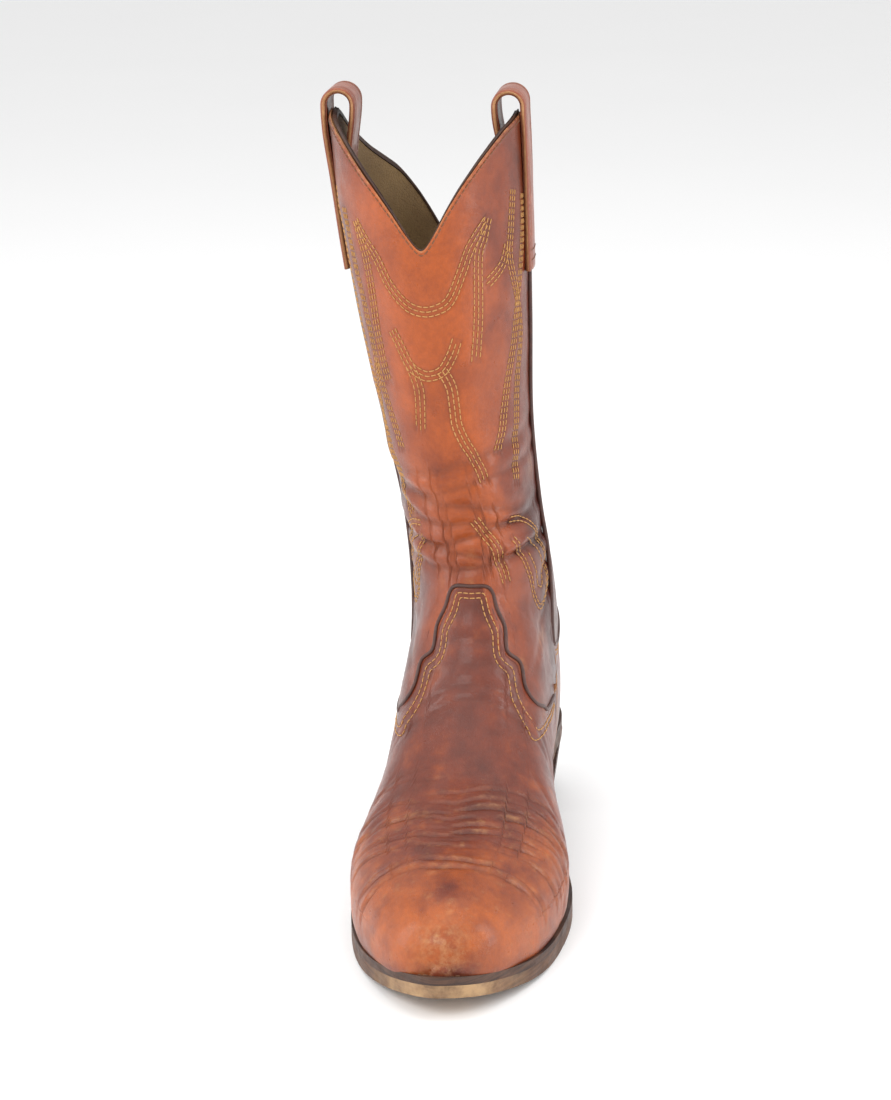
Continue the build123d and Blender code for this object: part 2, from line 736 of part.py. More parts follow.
with BuildPart() as vamp_piping:
    add(front_cord)
    add(vamp_area_grown, mode=Mode.INTERSECT)
    add(vamp_area, mode=Mode.SUBTRACT)
    add(counter_area, mode=Mode.SUBTRACT)
vamp_piping.part.label = "vamp_piping"
export_step(vamp_piping.part, "parts/vamp_piping.step")

heel_cord = heel_skin(PIPING_PROUD, 0)
with BuildPart() as counter_piping:
    add(heel_cord)
    add(counter_area_grown, mode=Mode.INTERSECT)
    add(counter_area, mode=Mode.SUBTRACT)
    add(vamp_area_grown, mode=Mode.SUBTRACT)
counter_piping.part.label = "counter_piping"
export_step(counter_piping.part, "parts/counter_piping.step")

# Pull straps: each is one band that loops over the top edge at the side seam


def shaft_side(z, side):
    """x of the shaft's outer surface beside the seam; side is 1 on the medial side, -1 on the lateral."""
    low = HEEL_END
    high = TOP
    for _ in range(30):
        place = (low + high) / 2
        ring = ring_at(place)
        if ring_place(ring, ring.widest)[1] < z:
            low = place
        else:
            high = place
    return ring_point(ring, side * 90)[0]


def strap_loop(side):
    """The strap's profile as seen from the front: down the outside, over the top and down the inside."""
    shoulder = STRAP_TOP - STRAP_SPAN / 2
    thick = side * STRAP_THICK
    leg_heights = (STRAP_OUTER_END, (STRAP_OUTER_END + shoulder) / 2, shoulder)
    near = [(shaft_side(z, side) + side * STRAP_GAP, z) for z in leg_heights]
    far = [(x + thick, z) for x, z in near]
    inner_far = far[-1][0] - side * STRAP_SPAN
    inner_low = shaft_side(STRAP_INNER_END, side) - side * (LINING + STRAP_GAP)
    middle = (far[-1][0] + inner_far) / 2
    bow = ((inner_far + inner_low) / 2, (shoulder + STRAP_INNER_END) / 2)
    with BuildSketch(front_view(SEAM_TOP + STRAP_WIDTH / 2)) as profile:
        with BuildLine():
            Spline(*far)
            ThreePointArc(far[-1], (middle, STRAP_TOP), (inner_far, shoulder))
            Spline((inner_far, shoulder), bow, (inner_low - thick, STRAP_INNER_END))
            Line((inner_low - thick, STRAP_INNER_END), (inner_low, STRAP_INNER_END))
            Spline((inner_low, STRAP_INNER_END), (bow[0] + thick, bow[1]), (inner_far + thick, shoulder))
            ThreePointArc((inner_far + thick, shoulder), (middle, STRAP_TOP - STRAP_THICK), near[-1])
            Spline(*reversed(near))
            Line(near[0], far[0])
        make_face()
    return profile.sketch


medial_loop = strap_loop(1)
lateral_loop = strap_loop(-1)

with BuildPart() as pull_strap_medial:
    add(medial_loop)
    extrude(amount=STRAP_WIDTH, dir=(0, -1, 0))
pull_strap_medial.part.label = "pull_strap_medial"
export_step(pull_strap_medial.part, "parts/pull_strap_medial.step")

with BuildPart() as pull_strap_lateral:
    add(lateral_loop)
    extrude(amount=STRAP_WIDTH, dir=(0, -1, 0))
pull_strap_lateral.part.label = "pull_strap_lateral"
export_step(pull_strap_lateral.part, "parts/pull_strap_lateral.step")

# Sole unit

with BuildPart() as shank_pegs:
    for row in range(PEG_ROWS):
        spread = PEG_SPREAD[0] + (PEG_SPREAD[1] - PEG_SPREAD[0]) * row / (PEG_ROWS - 1)
        y = PEG_FRONT + PEG_PITCH * row
        with BuildSketch(floor_view()):
            with Locations((PEG_MIDDLE_X - spread, y), (PEG_MIDDLE_X + spread, y)):
                Circle(PEG_RADIUS)
        extrude(amount=WIDE / 2)
    add(above_floor, mode=Mode.INTERSECT)
    add(above_filler, mode=Mode.SUBTRACT)
shank_pegs.part.label = "shank_pegs"
export_step(shank_pegs.part, "parts/shank_pegs.step")

above_shank_low = above_sole_line(OUTSOLE + SHANK_LOW)
above_shank_high = above_sole_line(OUTSOLE + SHANK_LOW + SHANK_THICK)
with BuildPart() as steel_shank:
    with BuildSketch(floor_view()):
        with Locations(SHANK_MIDDLE):
            SlotCenterToCenter(SHANK_LENGTH - SHANK_WIDTH, SHANK_WIDTH, rotation=90)
    extrude(amount=WIDE / 2)
    add(above_shank_low, mode=Mode.INTERSECT)
    add(above_shank_high, mode=Mode.SUBTRACT)
steel_shank.part.label = "steel_shank"
export_step(steel_shank.part, "parts/steel_shank.step")

with BuildPart() as outsole:
    add(sole_column)
    add(above_floor, mode=Mode.INTERSECT)
    add(above_outsole, mode=Mode.SUBTRACT)
    add(shank_pegs.part, mode=Mode.SUBTRACT)
outsole.part.label = "outsole"
export_step(outsole.part, "parts/outsole.step")

with BuildPart() as welt:
    add(sole_column)
    add(waist_and_forefoot, mode=Mode.INTERSECT)
    add(above_outsole, mode=Mode.INTERSECT)
    add(above_welt, mode=Mode.SUBTRACT)
    add(welt_inside, mode=Mode.SUBTRACT)
welt.part.label = "welt"
export_step(welt.part, "parts/welt.step")

with BuildPart() as heel_rand:
    add(sole_column)
    add(heel_part, mode=Mode.INTERSECT)
    add(above_outsole, mode=Mode.INTERSECT)
    add(above_welt, mode=Mode.SUBTRACT)
    add(welt_inside, mode=Mode.SUBTRACT)
heel_rand.part.label = "heel_rand"
export_step(heel_rand.part, "parts/heel_rand.step")

with BuildPart() as insole_rib:
    add(filler_block)
    add(rib_inside, mode=Mode.SUBTRACT)
    add(waist_and_forefoot, mode=Mode.INTERSECT)
    add(above_outsole, mode=Mode.INTERSECT)
    add(above_filler, mode=Mode.SUBTRACT)
insole_rib.part.label = "insole_rib"
export_step(insole_rib.part, "parts/insole_rib.step")

with BuildPart() as cork_filler:
    add(rib_inside)
    add(waist_and_forefoot, mode=Mode.INTERSECT)
    add(above_outsole, mode=Mode.INTERSECT)
    add(above_filler, mode=Mode.SUBTRACT)
    add(steel_shank.part, mode=Mode.SUBTRACT)
    add(shank_pegs.part, mode=Mode.SUBTRACT)
cork_filler.part.label = "cork_filler"
export_step(cork_filler.part, "parts/cork_filler.step")

with BuildPart() as heel_seat_filler:
    add(filler_block)
    add(heel_part, mode=Mode.INTERSECT)
    add(above_outsole, mode=Mode.INTERSECT)
    add(above_filler, mode=Mode.SUBTRACT)
heel_seat_filler.part.label = "heel_seat_filler"
export_step(heel_seat_filler.part, "parts/heel_seat_filler.step")

with BuildPart() as insole:
    add(insole_block)
    add(above_filler, mode=Mode.INTERSECT)
    add(above_insole, mode=Mode.SUBTRACT)
insole.part.label = "insole"
export_step(insole.part, "parts/insole.step")

sock_part = slab(SOCK_FRONT, LONG)
with BuildPart() as sock_liner:
    add(sock_block)
    add(sock_part, mode=Mode.INTERSECT)
    add(above_insole, mode=Mode.INTERSECT)
    add(above_sock, mode=Mode.SUBTRACT)
sock_liner.part.label = "sock_liner"
export_step(sock_liner.part, "parts/sock_liner.step")

# Heel: a stack that tapers to the rubber cap, held by nails driven up from the cap

with BuildPart() as heel_nails:
    with BuildSketch(floor_view(NAIL_RECESS)):
        with Locations((0, NAIL_MIDDLE)):
            with PolarLocations(NAIL_CIRCLE, NAIL_COUNT, start_angle=90):
                Circle(NAIL_RADIUS)
    extrude(amount=NAIL_LENGTH)
heel_nails.part.label = "heel_nails"
export_step(heel_nails.part, "parts/heel_nails.step")

heel_top = HEEL_SEAT + SEAT_SLOPE * (LONG - HEEL_BREAST)
with BuildPart() as heel_block:
    for height in (0, heel_top):
        down = 1 - height / HEEL_SEAT
        half = HEEL_HALF_WIDTH - HEEL_TAPER * down
        back = SOLE_LENGTH - HEEL_UNDERCUT * down
        breast = HEEL_BREAST + BREAST_RAKE * down
        with BuildSketch(floor_view(height)):
            with BuildLine():
                Polyline((-half, back - half), (-half, breast), (half, breast), (half, back - half))
                ThreePointArc((half, back - half), (0, back), (-half, back - half))
            make_face()
    loft()
    add(above_floor, mode=Mode.SUBTRACT)
    add(heel_nails.part, mode=Mode.SUBTRACT)

lift_height = (HEEL_SEAT - HEEL_CAP) / HEEL_LIFTS
levels = [0.0] + [HEEL_CAP + lift_height * number for number in range(HEEL_LIFTS)] + [heel_top]
for number, (low, high) in enumerate(zip(levels, levels[1:])):
    name = f"heel_lift_{number}" if number else "heel_cap"
    with BuildPart() as heel_layer:
        with BuildSketch(floor_view(low)):
            with Locations((0, LONG / 2)):
                Rectangle(WIDE, LONG)
        extrude(amount=high - low)
        add(heel_block.part, mode=Mode.INTERSECT)
    heel_layer.part.label = name
    export_step(heel_layer.part, f"parts/{name}.step")
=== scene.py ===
import math

import bpy
import numpy as np
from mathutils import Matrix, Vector, kdtree


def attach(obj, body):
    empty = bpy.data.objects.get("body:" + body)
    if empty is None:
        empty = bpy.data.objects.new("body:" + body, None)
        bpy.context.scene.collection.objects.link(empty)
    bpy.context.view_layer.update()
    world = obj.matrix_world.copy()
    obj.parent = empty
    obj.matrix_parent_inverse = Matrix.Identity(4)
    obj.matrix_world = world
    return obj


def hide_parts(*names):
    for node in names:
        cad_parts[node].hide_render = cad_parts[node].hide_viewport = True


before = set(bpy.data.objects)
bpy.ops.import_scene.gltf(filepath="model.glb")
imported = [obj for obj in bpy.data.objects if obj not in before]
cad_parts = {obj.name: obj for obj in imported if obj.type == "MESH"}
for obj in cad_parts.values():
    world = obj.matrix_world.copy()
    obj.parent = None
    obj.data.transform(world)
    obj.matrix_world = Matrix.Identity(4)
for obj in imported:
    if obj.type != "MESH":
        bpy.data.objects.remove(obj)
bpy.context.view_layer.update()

# The boot's own measures are in millimetres: x from the heel's axis, y from the toe's tip, z from the floor
MM = 0.001
HEEL_X, TOE_Y = 10.0, -150.7
LEATHER, WALL = 1.8, 3.6
TOE_CAP = 1.5
SPRING_LENGTH, SPRING_RISE = 75, 12
WAIST_Y, BREAST_Y = 125, 235
HEEL_HEIGHT, HEEL_SLOPE = 34, 0.03
FEATHER = 8.5
TINY, NIL = 1e-9, 1e-12

# Rings round the foot and leg: front y z, back y z, half width, widest share, front and back powers,
# sideways front and back
STATIONS = np.array([
    (5.5, 25, 5.5, 15, 4.5, 0.60, 2.0, 3.0, 3.0, 3.0),
    (7, 31, 7, 15, 10.5, 0.60, 2.0, 3.2, 3.0, 3.0),
    (11, 37, 11, 13.5, 17, 0.60, 2.05, 3.4, 3.0, 3.0),
    (19, 43, 19, 11, 24.5, 0.62, 2.1, 3.8, 2.9, 2.9),
    (32, 48, 32, 8, 32.5, 0.63, 2.15, 4.0, 2.6, 2.6),
    (52, 52, 52, 4.5, 41.5, 0.63, 2.2, 4.2, 2.2, 2.2),
    (76, 57.5, 76, 3, 48, 0.61, 2.2, 4.2, 1.6, 1.6),
    (100, 66, 100, 3, 50.5, 0.61, 2.1, 4.2, 1.0, 1.0),
    (122, 78, 126, 4, 47.5, 0.64, 2.0, 4.2, 1.0, 0.0),
    (141, 94, 155, 10, 42.5, 0.66, 1.95, 4.2, 1.0, -1.5),
    (155, 112, 190, 24, 39, 0.64, 1.95, 4.3, 0.6, -2.0),
    (163.5, 127, 232, 34, 37.5, 0.60, 2.0, 4.4, 0.4, -1.0),
    (168, 137, 264, 35, 36.5, 0.57, 2.0, 4.4, 0.2, 0.0),
    (169.8, 142, 289, 38, 36, 0.56, 2.0, 3.7, 0, 0),
    (171, 146.5, 297.5, 49, 35.5, 0.55, 2.05, 3.0, 0, 0),
    (172, 151, 299.5, 66, 35.2, 0.54, 2.05, 2.6, 0, 0),
    (172.8, 158, 296.5, 88, 34.7, 0.53, 2.1, 2.4, -0.5, 0),
    (173, 171, 288, 119, 34, 0.52, 2.1, 2.3, -2.5, -0.5),
    (172.5, 191, 284, 156, 33.5, 0.52, 2.1, 2.2, -7, -3.5),
    (171, 226, 286, 205, 36, 0.51, 2.1, 2.1, -12.5, -10.5),
    (168, 270, 289, 261, 41, 0.50, 2.0, 2.0, -17, -16.5),
    (164.5, 320, 291, 318, 44.5, 0.50, 2.0, 2.0, -21, -21),
    (162, 372, 292, 372, 46, 0.50, 2.0, 2.0, -24.5, -24.5),
])
TOP = len(STATIONS) - 1
# The outsole's plan: from the toe, half width, sideways
SOLE_PLAN = np.array([
    (5, 11.6, 3.0), (20.5, 25.6, 2.9), (45, 39.5, 2.5), (75, 48.2, 1.6), (105, 51.6, 1.0),
    (135, 49.5, 0), (165, 42.5, -1.5), (195, 38, -2), (235, 36, -1), (265, 36, 0), (290, 25, 0),
])


def catmull(table, place):
    """Rows of a table at places between them, on a smooth curve."""
    place = np.clip(np.asarray(place, float), 0, len(table) - 1 - 1e-9)
    i = np.floor(place).astype(int)
    t = (place - i)[..., None]
    a, b, c, d = (table[np.clip(i + k, 0, len(table) - 1)] for k in (-1, 0, 1, 2))
    return 0.5 * (2 * b + (c - a) * t + (2 * a - 5 * b + 4 * c - d) * t**2 + (3 * b - a - 3 * c + d) * t**3)


def surface(place, angle):
    """Points of the boot's outer surface.

    Angle 0 is the front, 90 degrees the medial side. Below place 0 the toe closes."""
    place, angle = np.broadcast_arrays(np.asarray(place, float), np.asarray(angle, float))
    front_y, front_z, back_y, back_z, half, widest, front_p, back_p, front_x, back_x = (
        catmull(STATIONS, place)[..., k] for k in range(10)
    )
    cap = np.clip(-place, 0, 1) * np.pi / 2
    shrink = np.cos(cap)
    middle = (front_z + back_z) / 2
    front_z = middle + (front_z - middle) * shrink
    back_z = middle + (back_z - middle) * shrink
    half = half * shrink
    front_y = front_y - TOE_CAP * np.sin(cap)
    back_y = back_y - TOE_CAP * np.sin(cap)
    length = np.maximum(np.hypot(back_y - front_y, back_z - front_z), 1e-6)
    to_front = (front_y - back_y) / length, (front_z - back_z) / length
    c, s = np.cos(angle), np.sin(angle)
    power = np.where(c >= 0, front_p, back_p)
    reach = np.where(c >= 0, length * widest, length * (1 - widest))
    along = np.sign(c) * reach * np.abs(c) ** (2 / power)
    across = np.sign(s) * half * np.abs(s) ** (2 / power)
    share = widest - along / length
    y = front_y + (back_y - front_y) * widest + to_front[0] * along
    z = front_z + (back_z - front_z) * widest + to_front[1] * along
    return np.stack([across + front_x + (back_x - front_x) * share, y, z], -1)


def outward(place, angle):
    """Unit normals of the outer surface."""
    e = 0.02
    du = surface(np.minimum(place + e, TOP), angle) - surface(np.maximum(place - e, -1), angle)
    dv = surface(place, angle + e) - surface(place, angle - e)
    n = np.cross(dv, du)
    size = np.linalg.norm(n, axis=-1, keepdims=True)
    n = np.where(size > TINY, n / np.maximum(size, TINY), np.array([0.0, -1.0, 0.0]))
    centre = (surface(place, np.zeros_like(angle)) + surface(place, np.full_like(angle, np.pi))) / 2
    flip = np.sign(np.sum(n * (surface(place, angle) - centre), axis=-1, keepdims=True) + NIL)
    return n * flip


def unit(values):
    """Values held between 0 and 1."""
    return np.clip(values, 0, 1)


def directions(line):
    """Unit vectors along a line of points."""
    ahead = np.gradient(line, axis=0)
    return ahead / (np.linalg.norm(ahead, axis=1, keepdims=True) + NIL)


def run_length(line):
    """Length along a line of points, from its start to each of them."""
    return np.concatenate([[0], np.cumsum(np.linalg.norm(np.diff(line, axis=0), axis=1))])


def point_tree(points):
    tree = kdtree.KDTree(len(points))
    for i, q in enumerate(points):
        tree.insert(q, i)
    tree.balance()
    return tree


def smooth_line(points, steps=16):
    """A smooth polyline through points."""
    table = np.array(points, float)
    return catmull(table, np.linspace(0, len(table) - 1, (len(table) - 1) * steps + 1))


def signed(a, b, line):
    """Distance of (a, b) from a line that runs along a, positive where b is under it."""
    shape = a.shape
    a, b = a.ravel(), b.ravel()
    best = np.full(a.shape, 1e9)
    for (x0, y0), (x1, y1) in zip(line[:-1], line[1:]):
        dx, dy = x1 - x0, y1 - y0
        t = unit(((a - x0) * dx + (b - y0) * dy) / (dx * dx + dy * dy + NIL))
        best = np.minimum(best, (a - x0 - t * dx) ** 2 + (b - y0 - t * dy) ** 2)
    under = np.interp(a, line[:, 0], line[:, 1]) - b
    return (np.sqrt(best) * np.sign(under)).reshape(shape)


# Edges of the vamp and counter: sideways or from the toe, height. The vamp's two lines blend round LOBE_BACK
TONGUE = smooth_line([(-8, 142.5), (0, 143.5), (8, 142.5), (11.5, 133), (15.5, 124), (17, 114), (23, 107),
                      (26, 96), (33, 84), (38, 78), (60, 77)], 8)
WING = smooth_line([(180, 77.6), (195, 78), (203, 78.5), (214, 86), (222, 97)], 8)
COUNTER_TOP = smooth_line([(222, 97), (242, 93), (268, 104), (320, 120)], 8)
LOBE_BACK, LOBE_BLEND = 195.0, 12.0
SEAM_Y, SEAM_Z, SEAM_LEAN = 222, 97, 10
SEAM = smooth_line([(60, SEAM_Y), (SEAM_Z, SEAM_Y), (160, 225), (300, 228), (420, 228)])


def vamp_edge(p):
    """How far inside the vamp's upper edge."""
    tongue = signed(np.abs(p[..., 0]), p[..., 2], TONGUE)
    wing = signed(p[..., 1], p[..., 2], WING)
    t = unit((p[..., 1] - LOBE_BACK + LOBE_BLEND / 2) / LOBE_BLEND)
    return tongue * (1 - t) + wing * t


def counter_line(p):
    """How far in front of the line where vamp and counter meet."""
    return SEAM_Y - (SEAM_Z - p[..., 2]) * SEAM_LEAN / SEAM_Z - p[..., 1]


def vamp_zone(p):
    """How far inside the vamp's upper and rear edges."""
    return np.minimum(vamp_edge(p), counter_line(p))


def counter_edge(p):
    """How far under the counter's upper edge."""
    return signed(p[..., 1], p[..., 2], COUNTER_TOP)


def sole_z(y):
    """The outsole's underside."""
    y = np.asarray(y, float)
    radius = (SPRING_LENGTH**2 + SPRING_RISE**2) / (2 * SPRING_RISE)
    spring = radius - np.sqrt(radius**2 - np.clip(SPRING_LENGTH - y, 0, SPRING_LENGTH) ** 2)
    waist_length = BREAST_Y - WAIST_Y
    t = unit((y - WAIST_Y) / waist_length)
    steep = HEEL_HEIGHT - HEEL_SLOPE * waist_length / 3
    waist = 3 * steep * t**2 * (1 - t) + HEEL_HEIGHT * t**3
    seat = HEEL_HEIGHT + HEEL_SLOPE * (y - BREAST_Y)
    return np.where(y < SPRING_LENGTH, spring, np.where(y < WAIST_Y, 0, np.where(y < BREAST_Y, waist, seat)))


def above_sole(p, lift):
    """How high over a level that follows the outsole's underside."""
    return p[..., 2] - sole_z(p[..., 1]) - lift


# The fine places at which columns are sampled, and the spacings of points beside a sheet's edges
PLACES = np.linspace(-1, TOP, 1900)
EDGES = (0.35, 0.9, 1.7, 2.6)


def angle_where(test, low=30, high=178, count=500):
    """At each of PLACES, the angle at which test turns positive, going round from the front."""
    angles = np.radians(np.linspace(low, high, count))
    points = surface(PLACES[:, None], angles[None, :])
    values = test(points)
    first = np.argmax(values > 0, axis=1)
    found = values[np.arange(len(PLACES)), first] > 0
    i = np.clip(first, 1, count - 1)
    rows = np.arange(len(PLACES))
    v0, v1 = values[rows, i - 1], values[rows, i]
    t = unit(-v0 / (v1 - v0 + NIL))
    out = angles[i - 1] + (angles[i] - angles[i - 1]) * t
    out[first == 0] = angles[0]
    out[~found] = angles[-1]
    return out


def first_crossing(values, start=0, rising=True):
    """Where along a row of samples the value first turns positive (or negative), as a fraction of an index."""
    v = values if rising else -values
    for i in range(max(start, 1), len(v)):
        if v[i] > 0 >= v[i - 1]:
            return i - 1 + v[i - 1] / (v[i - 1] - v[i])
    return None


def sheet_grid(angles_at, fractions, starts, ends, low, high, spacing, edges=EDGES):
    """Places and angles on a grid whose columns run up the surface between two boundaries.

    angles_at(fraction) gives a column's angle at each of PLACES. starts and ends are tests on points,
    or None."""
    first, last = np.searchsorted(PLACES, low), np.searchsorted(PLACES, high) - 1
    window = slice(first, last + 1)
    columns = []
    for fraction in fractions:
        angle = angles_at(fraction)[window]
        place = PLACES[window]
        points = surface(place, angle)
        a, b = 0.0, len(place) - 1.0
        if starts:
            a = first_crossing(starts(points)) or 0.0
        if ends:
            b = first_crossing(ends(points), int(a) + 1, rising=False) or b
        index = np.concatenate([[a], np.arange(math.floor(a) + 1, math.ceil(b)), [b]])
        place_i = np.interp(index, np.arange(len(place)), place)
        angle_i = np.interp(index, np.arange(len(place)), angle)
        columns.append((place_i, angle_i, run_length(surface(place_i, angle_i))))
    longest = max(run[-1] for _, _, run in columns)
    count = int(longest / spacing) + 2
    us, vs, ds = [], [], []
    for place_i, angle_i, run in columns:
        total = run[-1]
        k = min(1.0, total / (4 * edges[-1]))
        e = np.array([0.0, *edges]) * k
        inner = np.linspace(e[-1], total - e[-1], count)
        target = np.concatenate([e[:-1], inner, total - e[:-1][::-1]])
        us.append(np.interp(target, run, place_i))
        vs.append(np.interp(target, run, angle_i))
        ds.append(np.minimum(target, total - target))
    return np.array(us).T, np.array(vs).T, np.array(ds).T


def even_fractions(angles_at, at_place, spacing):
    """Fractions from -1 to 1 that are evenly spaced along a ring, closer at the ends."""
    row = int(np.searchsorted(PLACES, at_place))
    fine = np.linspace(-1, 1, 1200)
    angle = np.array([angles_at(f)[row] for f in fine])
    run = run_length(surface(np.full_like(angle, PLACES[row]), angle))
    e = np.array([0.0, *EDGES])
    inner = np.linspace(e[-1], run[-1] - e[-1], int(run[-1] / spacing) + 2)
    return np.interp(np.concatenate([e[:-1], inner, run[-1] - e[:-1][::-1]]), run, fine)


# Smooth noise


def lattice(ix, iy, iz, seed):
    """A fixed value from 0 to 1 at each whole-numbered point."""
    n = np.sin(ix * 127.1 + iy * 311.7 + iz * 74.7 + seed * 53.3) * 43758.5453
    return n - np.floor(n)


def smooth_noise(p, scale, seed=0):
    """Values from -1 to 1 that change over about scale millimetres."""
    q = p / scale
    i = np.floor(q)
    t = q - i
    t = t * t * (3 - 2 * t)
    out = np.zeros(p.shape[:-1])
    for corner in np.ndindex(2, 2, 2):
        weight = np.prod(np.where(corner, t, 1 - t), axis=-1)
        out += weight * lattice(*np.moveaxis(i + corner, -1, 0), seed)
    return out * 2 - 1


def bump(x, middle, width):
    """1 at the middle, falling off smoothly."""
    return np.exp(-(((x - middle) / width) ** 2))


# Materials


class Nodes:
    """Short ways to build a material. An input is a constant or another node's output."""

    def __init__(self, name):
        self.material = bpy.data.materials.new(name)
        self.material.use_nodes = True
        self.tree = self.material.node_tree
        self.tree.nodes.clear()
        self.where = self.node("ShaderNodeTexCoord", {}, "Object")

    def node(self, kind, inputs, output=0, **settings):
        node = self.tree.nodes.new(kind)
        for key, value in settings.items():
            setattr(node, key, value)
        for key, value in inputs.items():
            if isinstance(value, bpy.types.NodeSocket):
                self.tree.links.new(value, node.inputs[key])
            else:
                node.inputs[key].default_value = value
        return node.outputs[output] if node.outputs else node

    def noise(self, scale, detail=4.0, roughness=0.55, distortion=0.0, where=None):
        inputs = {"Vector": where or self.where, "Scale": scale, "Detail": detail, "Roughness": roughness,
                  "Distortion": distortion}
        return self.node("ShaderNodeTexNoise", inputs, "Fac")

    def voronoi(self, scale, where=None):
        inputs = {"Vector": where or self.where, "Scale": scale}
        return self.node("ShaderNodeTexVoronoi", inputs, "Distance", feature="DISTANCE_TO_EDGE")

    def along(self, axis):
        return self.node("ShaderNodeSeparateXYZ", {0: self.where}, axis)

    def attribute(self, name):
        return self.node("ShaderNodeAttribute", {}, "Fac", attribute_name=name)

    def ramp(self, value, low, high, out_low=0.0, out_high=1.0):
        return self.node("ShaderNodeMapRange", {"Value": value, "From Min": low, "From Max": high,
                                                "To Min": out_low, "To Max": out_high})

    def plus(self, a, b):
        return self.node("ShaderNodeMath", {0: a, 1: b}, operation="ADD")

    def times(self, a, b):
        return self.node("ShaderNodeMath", {0: a, 1: b}, operation="MULTIPLY")

    def mix(self, factor, a, b):
        a, b = ((*c, 1) if isinstance(c, tuple) else c for c in (a, b))
        return self.node("ShaderNodeMix", {"Factor": factor, 6: a, 7: b}, 2, data_type="RGBA")

    def finish(self, colour, roughness, height=None, strength=0.3, distance=0.0006, **constants):
        inputs = {"Base Color": colour, "Roughness": roughness}
        if height is not None:
            relief = {"Strength": strength, "Distance": distance, "Height": height}
            inputs["Normal"] = self.node("ShaderNodeBump", relief)
        inputs.update((key.replace("_", " "), value) for key, value in constants.items())
        self.node("ShaderNodeOutputMaterial", {0: self.node("ShaderNodeBsdfPrincipled", inputs)})
        return self.material


def glossy_leather(name, light, middle, dark, scuffed):
    """Waxed leather: tone, scuff and worn come from the mesh, and so does the painted shade of creases and of
    the leather beside stitching; mottling and grain come from noise.
    """
    n = Nodes(name)
    # On the shaft, tone also carries painted shading: lighter at the front, darker round the sides
    level = n.plus(n.attribute("tone"), n.ramp(n.noise(38, 5, 0.6, 0.4), 0.3, 0.7, -0.22, 0.22))
    colour = n.mix(n.ramp(level, 0.0, 0.5), light, middle)
    colour = n.mix(n.ramp(level, 0.5, 1.0), colour, dark)
    colour = n.mix(n.times(n.ramp(n.noise(420, 6, 0.65), 0.35, 0.7), 0.25), colour, dark)
    # Painted shade: creases and the leather beside stitching are darkened towards a quarter of the dark colour
    colour = n.mix(n.times(n.attribute("painted_shade"), 0.75), colour, tuple(c * 0.25 for c in dark))
    scuff = n.attribute("scuff")
    colour = n.mix(n.times(scuff, n.ramp(n.noise(260, 7, 0.7), 0.42, 0.62)), colour, scuffed)
    shift = n.node("ShaderNodeTexNoise", {"Vector": n.where, "Scale": 90}, "Color")
    shift = n.node("ShaderNodeVectorMath", {0: shift, "Scale": 0.012}, operation="SCALE")
    warped = n.node("ShaderNodeVectorMath", {0: n.where, 1: shift}, operation="ADD")
    cracks = n.times(n.ramp(n.voronoi(210, warped), 0.0, 0.045, 1.0, 0.0), n.attribute("worn"))
    colour = n.mix(n.times(cracks, n.ramp(n.noise(150, 4), 0.4, 0.65)), colour, scuffed)
    grain = n.plus(n.times(n.ramp(n.voronoi(1500), 0, 0.25), 0.5), n.noise(900, 6, 0.7))
    rough = n.plus(n.ramp(n.noise(120, 5, 0.6), 0.3, 0.7, 0.26, 0.44), n.times(scuff, 0.25))
    return n.finish(colour, rough, grain, 0.28, 0.0005, Coat_Weight=0.16, Coat_Roughness=0.16,
                    Specular_IOR_Level=0.38)


def plain_leather(name, light, dark, scale=160, roughness=(0.4, 0.6), strength=0.3, coat=0.0):
    n = Nodes(name)
    colour = n.mix(n.ramp(n.noise(scale, 6, 0.65, 0.3), 0.3, 0.7), light, dark)
    colour = n.mix(n.times(n.ramp(n.noise(scale * 7, 4), 0.45, 0.75), 0.4), colour, dark)
    rough = n.ramp(n.noise(scale * 2, 4), 0.3, 0.7, *roughness)
    height = n.plus(n.noise(scale * 9, 6, 0.7), n.times(n.ramp(n.voronoi(1300), 0, 0.3), 0.4))
    return n.finish(colour, rough, height, strength, 0.0005, Coat_Weight=coat)


def stacked_leather(name, light, dark, line=900, toe=None):
    """Sole leather seen at its edge: fine level layers, waxed, and scuffed to a lighter colour at the toe."""
    n = Nodes(name)
    stretched = n.node("ShaderNodeMapping", {"Vector": n.where, "Scale": (0.04, 0.04, 1)})
    layers = n.noise(line, 3, 0.6, 0.0, stretched)
    colour = n.mix(n.ramp(layers, 0.35, 0.65), light, dark)
    worn = n.ramp(n.noise(70, 6, 0.7, 0.6), 0.45, 0.7)
    colour = n.mix(n.times(worn, 0.55), colour, tuple(c * 0.55 for c in dark))
    if toe:
        tip = n.ramp(n.along("Y"), -0.112, -0.142)
        colour = n.mix(n.times(tip, n.ramp(n.noise(55, 5, 0.65), 0.38, 0.58, 0.25, 0.9)), colour, toe)
    rough = n.ramp(n.noise(160, 4), 0.3, 0.7, 0.42, 0.68)
    return n.finish(colour, rough, n.plus(layers, n.noise(1200, 5, 0.7)), 0.35, 0.0004)


def fibre(name, light, dark, scale=900):
    """Cork, wood, board and thread."""
    n = Nodes(name)
    colour = n.mix(n.ramp(n.noise(scale, 6, 0.7), 0.3, 0.7), light, dark)
    return n.finish(colour, 0.8, n.noise(scale * 2, 5, 0.7), 0.4, 0.0005)


def metal(name, light, dark):
    n = Nodes(name)
    colour = n.mix(n.ramp(n.noise(500, 5, 0.6), 0.35, 0.7), light, dark)
    rough = n.ramp(n.noise(900, 4), 0.3, 0.7, 0.25, 0.5)
    return n.finish(colour, rough, n.noise(1500, 4), 0.15, 0.0003, Metallic=1.0)


